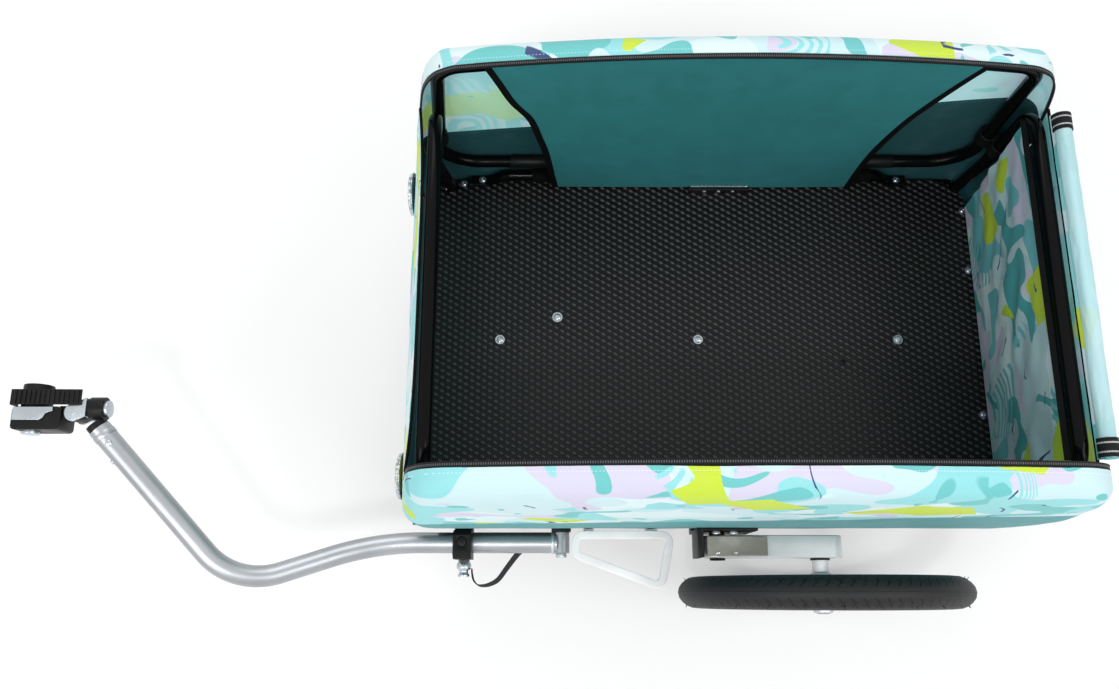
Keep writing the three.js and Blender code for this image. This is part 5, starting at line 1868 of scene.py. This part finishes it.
@dataclass
class RunningGear:
    """Wheel, suspension, guard and reflector of one side. Its sizes are in millimetres."""

    frame: Frame
    looks: Finishes
    side: Side
    track: float = 362.0
    wheel: float = 200.0
    spokes: int = 20
    hairs: int = 26

    def point(self, x: float, out: float, z: float) -> Vector:
        """A point on this side, in millimetres ahead of the axle, out from the middle and upwards."""
        return spot(x, self.side.sign * out, z)

    def centre(self) -> Vector:
        """The wheel's centre."""
        return self.point(0, self.track, self.wheel)

    def tyre(self) -> None:
        """The tyre, with a round section, a bead at the rim and moulding hairs."""
        word, body = self.side.word, "wheel_" + self.side.word
        section = [(158.4, -9.5), (160, -13), (163, -17.6), (168, -20.6), (174, -21.4), (181, -20.7),
                   (188, -17.8), (194, -12.9), (198.2, -7.2), (199.8, 0)]
        profile = section + [(radius, -along) for radius, along in reversed(section[:-1])]
        piece = Bench.turned("tyre_casing_" + word, profile, self.centre(), SIDEWAYS, 96)
        hand_over(piece, body, self.looks.tyres[self.side], "tyre_" + word)
        hairs = [self.vent_hair(number, face) for number in range(self.hairs) for face in (-1, 1)]
        bpy.ops.object.select_all(action="DESELECT")
        for hair in hairs:
            hair.select_set(True)
        bpy.context.view_layer.objects.active = hairs[0]
        bpy.ops.object.join()
        piece = Bench.place(bpy.context.object, "tyre_vent_hairs_" + word)
        hand_over(piece, body, self.looks.tyres[self.side])

    def vent_hair(self, number: int, face: int) -> Piece:
        """One of the thin moulding hairs at the tyre's shoulders.

        Args:
            number: Its place round the tyre.
            face: Plus one on the left face, minus one on the right one.

        Returns:
            The hair.
        """
        angle = (number + 0.25 + 0.25 * face) / self.hairs * math.tau
        out = Vector((math.sin(angle), 0, math.cos(angle)))
        root = self.centre() + (out * 189 + SIDEWAYS * (16.4 * face)) * MM
        tip = root + (out * 2.4 + SIDEWAYS * (3.4 * face) + FORWARDS * math.sin(number * 7.0)) * MM
        return Bench.rod(f"vent_hair_{number}", root, tip, 0.45, 6, 0)

    def rim(self) -> None:
        """The rim: a hooked channel with a flat spine."""
        profile = [(157.6, -12.4), (157.6, -10.8), (153.5, -10.2), (151.5, 0), (153.5, 10.2), (157.6, 10.8),
                   (157.6, 12.4), (151, 12.4), (146.5, 9.2), (144.2, 5.8), (144.2, -5.8), (146.5, -9.2),
                   (151, -12.4)]
        piece = Bench.turned("wheel_rim_" + self.side.word, profile, self.centre(), SIDEWAYS, 96)
        hand_over(piece, "wheel_" + self.side.word, self.looks.aluminium, "rim_" + self.side.word)

    def hub(self) -> None:
        """The hub, its spokes and their nipples."""
        word, sign = self.side.word, self.side.sign
        profile = [(6.6, -26), (13.4, -26), (14, -25.4), (14, -21.8), (27.4, -21.5), (28, -20.9),
                   (28, -19.6), (27.2, -19), (18, -17), (15.2, -13), (14.6, 0), (15.2, 13), (18, 17),
                   (27.2, 19), (28, 19.6), (28, 20.9), (27.4, 21.5), (14, 21.8), (13.4, 26.4), (11.8, 28),
                   (9.6, 28), (9.6, 17), (6.6, 17)]
        profile = [(radius, along * sign) for radius, along in profile]
        hub = Bench.turned("hub_shell_" + word, profile, self.centre(), SIDEWAYS, 40)
        hand_over(hub, "wheel_" + word, self.looks.aluminium, "hub_and_spokes_" + word)
        for number in range(self.spokes):
            angle = number / self.spokes * math.tau
            lean = 0.42 if number // 2 % 2 == 0 else -0.42
            flange = 1 if number % 2 == 0 else -1
            root = self.round_wheel(angle + lean, 24.4, flange * 20.25)
            tip = self.round_wheel(angle, 143.8, flange * 1.4)
            spoke = Bench.rod(f"spoke_{word}_{number}", root, tip, 1.0, 8, 0)
            hand_over(spoke, "wheel_" + word, self.looks.spokes)
            inner = tip + (root - tip).normalized() * (12 * MM)
            nipple = Bench.rod(f"nipple_{word}_{number}", inner, tip, 1.9, 8, 0.3)
            hand_over(nipple, "wheel_" + word, self.looks.zinc)

    def round_wheel(self, angle: float, radius: float, along: float) -> Vector:
        """A point of the wheel, by its angle, its distance from the axle and its place along the axle."""
        return self.centre() + Vector((math.sin(angle) * radius, along, math.cos(angle) * radius)) * MM

    def suspension(self) -> None:
        """Arm, bracket and block with their screws, and the wheel's release button."""
        word, looks = self.side.word, self.looks
        arm = "swing_arm_" + word
        for node, name, body, finish, edge, segments in (
            (arm, "trailing_arm_", arm, looks.arm, 1.8, 3),
            ("suspension_bracket_" + word, "arm_hanger_", "tub", looks.plastic, 0.9, 2),
            ("suspension_block_" + word, "elastomer_block_", arm, looks.elastomer, 1.6, 3),
        ):
            stand_in(self.frame, node, name + word, body, finish, edge, segments)
        for number, x in enumerate((149, 125)):
            for name, body, seat, top, radius, sides, edge in (
                ("hanger_bolt", "tub", (279.8, 229), (284.6, 229), 6.4, 6, 0.6),
                ("block_screw", arm, (309.5, 240), (309.5, 241.6), 2.4, 16, 0.3),
            ):
                head = Bench.rod(f"{name}_{word}_{number}", self.point(x, *seat), self.point(x, *top),
                                 radius, sides, edge)
                hand_over(head, body, looks.zinc)
        ring = Bench.rod(f"stub_collar_{word}", self.point(0, 315.4, self.wheel),
                         self.point(0, 318.5, self.wheel), 13.6, 40, 0.6)
        hand_over(ring, arm, looks.plastic)
        button = Bench.rod("release_button_" + word, self.point(0, self.track + 21.5, self.wheel),
                           self.point(0, self.track + 29, self.wheel), 9, 40, 0.9)
        hand_over(button, "wheel_button_" + word, looks.cap, "wheel_button_" + word)

    def guard(self) -> None:
        """The bar loop ahead of the wheel."""
        word, out = self.side.word, SIDEWAYS * self.side.sign
        stand_in(self.frame, "wheel_guard_" + word, "guard_loop_" + word, "tub", self.looks.guard, 1.7, 3)
        profile = [(0, 2.2), (2.4, 2.2), (3.6, 1.4), (4, 0), (0, 0)]
        for number, x in enumerate((324.6, 234.5)):
            screw = Bench.turned(f"guard_screw_{word}_{number}", profile, self.point(x, 280, 186), out, 20)
            hand_over(screw, "tub", self.looks.zinc)

    def reflector(self) -> None:
        """The round front reflector: a clear lens on a clear base."""
        word, centre = self.side.word, self.point(580.3, 208, 262)
        base = [(0, 0), (32, 0), (32.4, 0.5), (32.4, 1.6), (31.8, 2.1), (0, 2.1)]
        hand_over(Bench.turned("reflector_cup_" + word, base, centre, FORWARDS, 64), "tub", self.looks.lens)
        dome = [(0, 2.2), (31, 2.2), (31.4, 2.8), (31, 5), (29.4, 6.2), (24, 7.4), (12, 8.7), (0, 9)]
        lens = Bench.turned("reflector_lens_" + word, dome, centre, FORWARDS, 64)
        hand_over(lens, "tub", self.looks.lens, "front_reflector_" + word)

    def build(self) -> None:
        """Makes this side's running gear."""
        self.tyre()
        self.rim()
        self.hub()
        self.suspension()
        self.guard()
        self.reflector()


# Drawbar and hitch


@dataclass
class Drawbar:
    """The drawbar, its pivot and its lock. Its sizes are in millimetres."""

    frame: Frame
    looks: Finishes
    radius: float = 15.0
    y: float = 292.0
    z: float = 155.0
    corners: tuple[Triple, ...] = (
        (370, 292, 155), (634, 292, 155), (811, 355, 224), (992, 146, 288),
    )
    bends: tuple[float, ...] = (0, 270, 95, 0)
    collar_back: float = 12.0
    collar_half: float = 4.0
    collar_wall: float = 0.7
    knob_x: float = 493.4
    knob_y: float = 340.7
    lanyard_drop: float = 20.5
    lanyard_back: float = 75.0
    lanyard_out: float = 12.0
    lanyard_shares: tuple[Triple, ...] = (
        (0, -1, 0), (0.01, -0.35, 0), (0.04, 0.35, 0), (0.11, 0.85, 0.02), (0.2, 1, 0.08), (0.34, 0.86, 0.2),
        (0.5, 0.3, 0.45), (0.64, -0.9, 0.78), (0.78, -2.1, 0.98), (0.9, -3, 1), (1, -3.6, 1),
    )

    def lanyard(self) -> None:
        """Webbing from beside the lock pin's knob back under the drawbar."""
        knots = [spot(self.knob_x - self.lanyard_back * back, self.knob_y + self.lanyard_out * out,
                      self.z - self.lanyard_drop * down) for back, out, down in self.lanyard_shares]
        path = flowing(knots, 5)
        piece = Bench.band("lock_pin_tether", path, 9.0, 1.5, UPWARDS, last_side=Vector((0.62, -0.58, 0.53)))
        hand_over(piece, "drawbar", self.looks.lanyard, "pin_lanyard")
        length = sum((after - before).length for before, after in zip(path, path[1:]))

    def bar(self) -> None:
        """The bent aluminium tube with its pivot sleeve."""
        corners = [spot(*corner) for corner in self.corners]
        tube = Bench.tube("drawbar_tube", bent(corners, self.bends, 28), self.radius, sides=8)
        hand_over(tube, "drawbar", self.looks.bar, "drawbar")
        profile = [(5.5, -15), (11.4, -15), (12, -14.4), (12, 14.4), (11.4, 15), (5.5, 15)]
        sleeve = Bench.turned("pivot_sleeve", profile, spot(364, self.y, self.z), SIDEWAYS, 40)
        hand_over(sleeve, "drawbar", self.looks.bar)
        profile = [(14.8, -2.6), (16.2, -1.6), (16.6, 0), (16.2, 1.4), (14.8, 2.2)]
        weld = Bench.turned("sleeve_weld", profile, spot(376.5, self.y, self.z), FORWARDS, 40)
        hand_over(weld, "drawbar", self.looks.aluminium)
        self.bar_end(corners[3], (corners[3] - corners[2]).normalized())

    def bar_end(self, end: Vector, ahead: Vector) -> None:
        """The collar, the bolt and the button at the bar's front end.

        Args:
            end: The middle of the bar's front end, in metres.
            ahead: The direction in which the bar ends.
        """
        middle, half = end - ahead * (self.collar_back * MM), ahead * (self.collar_half * MM)
        ring = Bench.rod("bar_collar", middle - half, middle + half, self.radius + self.collar_wall, 40, 0.5)
        hand_over(ring, "drawbar", self.looks.bar)
        above = (UPWARDS - ahead * ahead.z).normalized()
        beside = above.cross(ahead)
        for name, back, out, radius, proud in (
            ("bar_bolt", 26, above, 4.6, 2.2),
            ("bar_button", 47, beside, 3.4, 2.6),
        ):
            seat = end - ahead * (back * MM) + out * (self.radius * MM)
            profile = [(0, proud), (radius * 0.5, proud), (radius * 0.9, proud * 0.6), (radius, -1), (0, -1)]
            hand_over(Bench.turned(name, profile, seat, out, 24), "drawbar", self.looks.zinc)

    def lock(self) -> None:
        """Pivot and lock pieces."""
        looks = self.looks
        for node, name, body, finish in (
            ("drawbar_pivot_bracket", "pivot_block", "tub", looks.plastic),
            ("drawbar_pivot_bolt", "pivot_bolt", "tub", looks.zinc),
            ("drawbar_lock_bracket", "lock_saddle", "tub", looks.plastic),
            ("lock_button", "saddle_button", "lock_button", looks.plastic),
            ("lock_pin", "saddle_pin", "lock_pin", looks.zinc),
        ):
            stand_in(self.frame, node, name, body, finish, 0.7)

    def build(self) -> None:
        """Makes the drawbar's pieces."""
        self.bar()
        self.lock()


@dataclass
class Hitch:
    """The swivelling hitch at the drawbar's front. Its sizes are in millimetres."""

    frame: Frame
    looks: Finishes
    ribs: int = 14
    rib_start: float = 1013.0
    rib_pitch: float = 6.4
    rib_length: float = 3.2
    rib_sides: tuple[float, float] = (97.5, 116.5)
    strap_top: float = 313.8
    strap_drop: float = 2.0
    slope_end: float = 1059.5
    slope_length: float = 49.5

    def build(self) -> None:
        """Makes the hitch's pieces."""
        looks = self.looks
        for node, name, body, finish, edge in (
            ("hitch_fork", "swivel_socket", "drawbar", looks.plastic, 1.2),
            ("hitch_bracket", "swivel_fork", "hitch_swivel", looks.zinc, 0.5),
            ("hitch_head", "coupling_head", "hitch_head", looks.plastic, 1.5),
            ("hitch_button", "coupling_button", "hitch_button", looks.zinc, 0.9),
            ("hitch_cover_plate", "coupling_plate", "hitch_head", looks.zinc, 0.4),
            ("hitch_strap", "safety_strap", "hitch_head", looks.rubber_strap, 0.4),
            ("strap_buckle", "safety_buckle", "hitch_head", looks.zinc, 0.0),
        ):
            stand_in(self.frame, node, name, body, finish, edge, 3)
        near, far = self.rib_sides
        for number in range(self.ribs):
            x = self.rib_start + number * self.rib_pitch
            top = self.strap_top - self.strap_drop * max(0.0, (self.slope_end - x) / self.slope_length)
            rib = Bench.block(f"strap_rib_{number}", spot(x, near, top - 0.6),
                              spot(x + self.rib_length, far, top + 1.6), 0.6)
            hand_over(rib, "hitch_head", looks.rubber_strap)


def main() -> None:
    """Builds the trailer piece by piece."""
    logging.basicConfig(level=logging.INFO, format="%(message)s")
    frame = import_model()
    studio = Studio()
    studio.camera()
    looks = Finishes()
    drawbar = Drawbar(frame, looks)
    drawbar.lanyard()
    TubFrame(frame, looks).build()
    Cloth(frame, looks).build()
    for side in Side:
        RunningGear(frame, looks, side).build()
    drawbar.build()
    Hitch(frame, looks).build()
    studio.light()
    studio.ground()


if __name__ == "__main__":
    main()
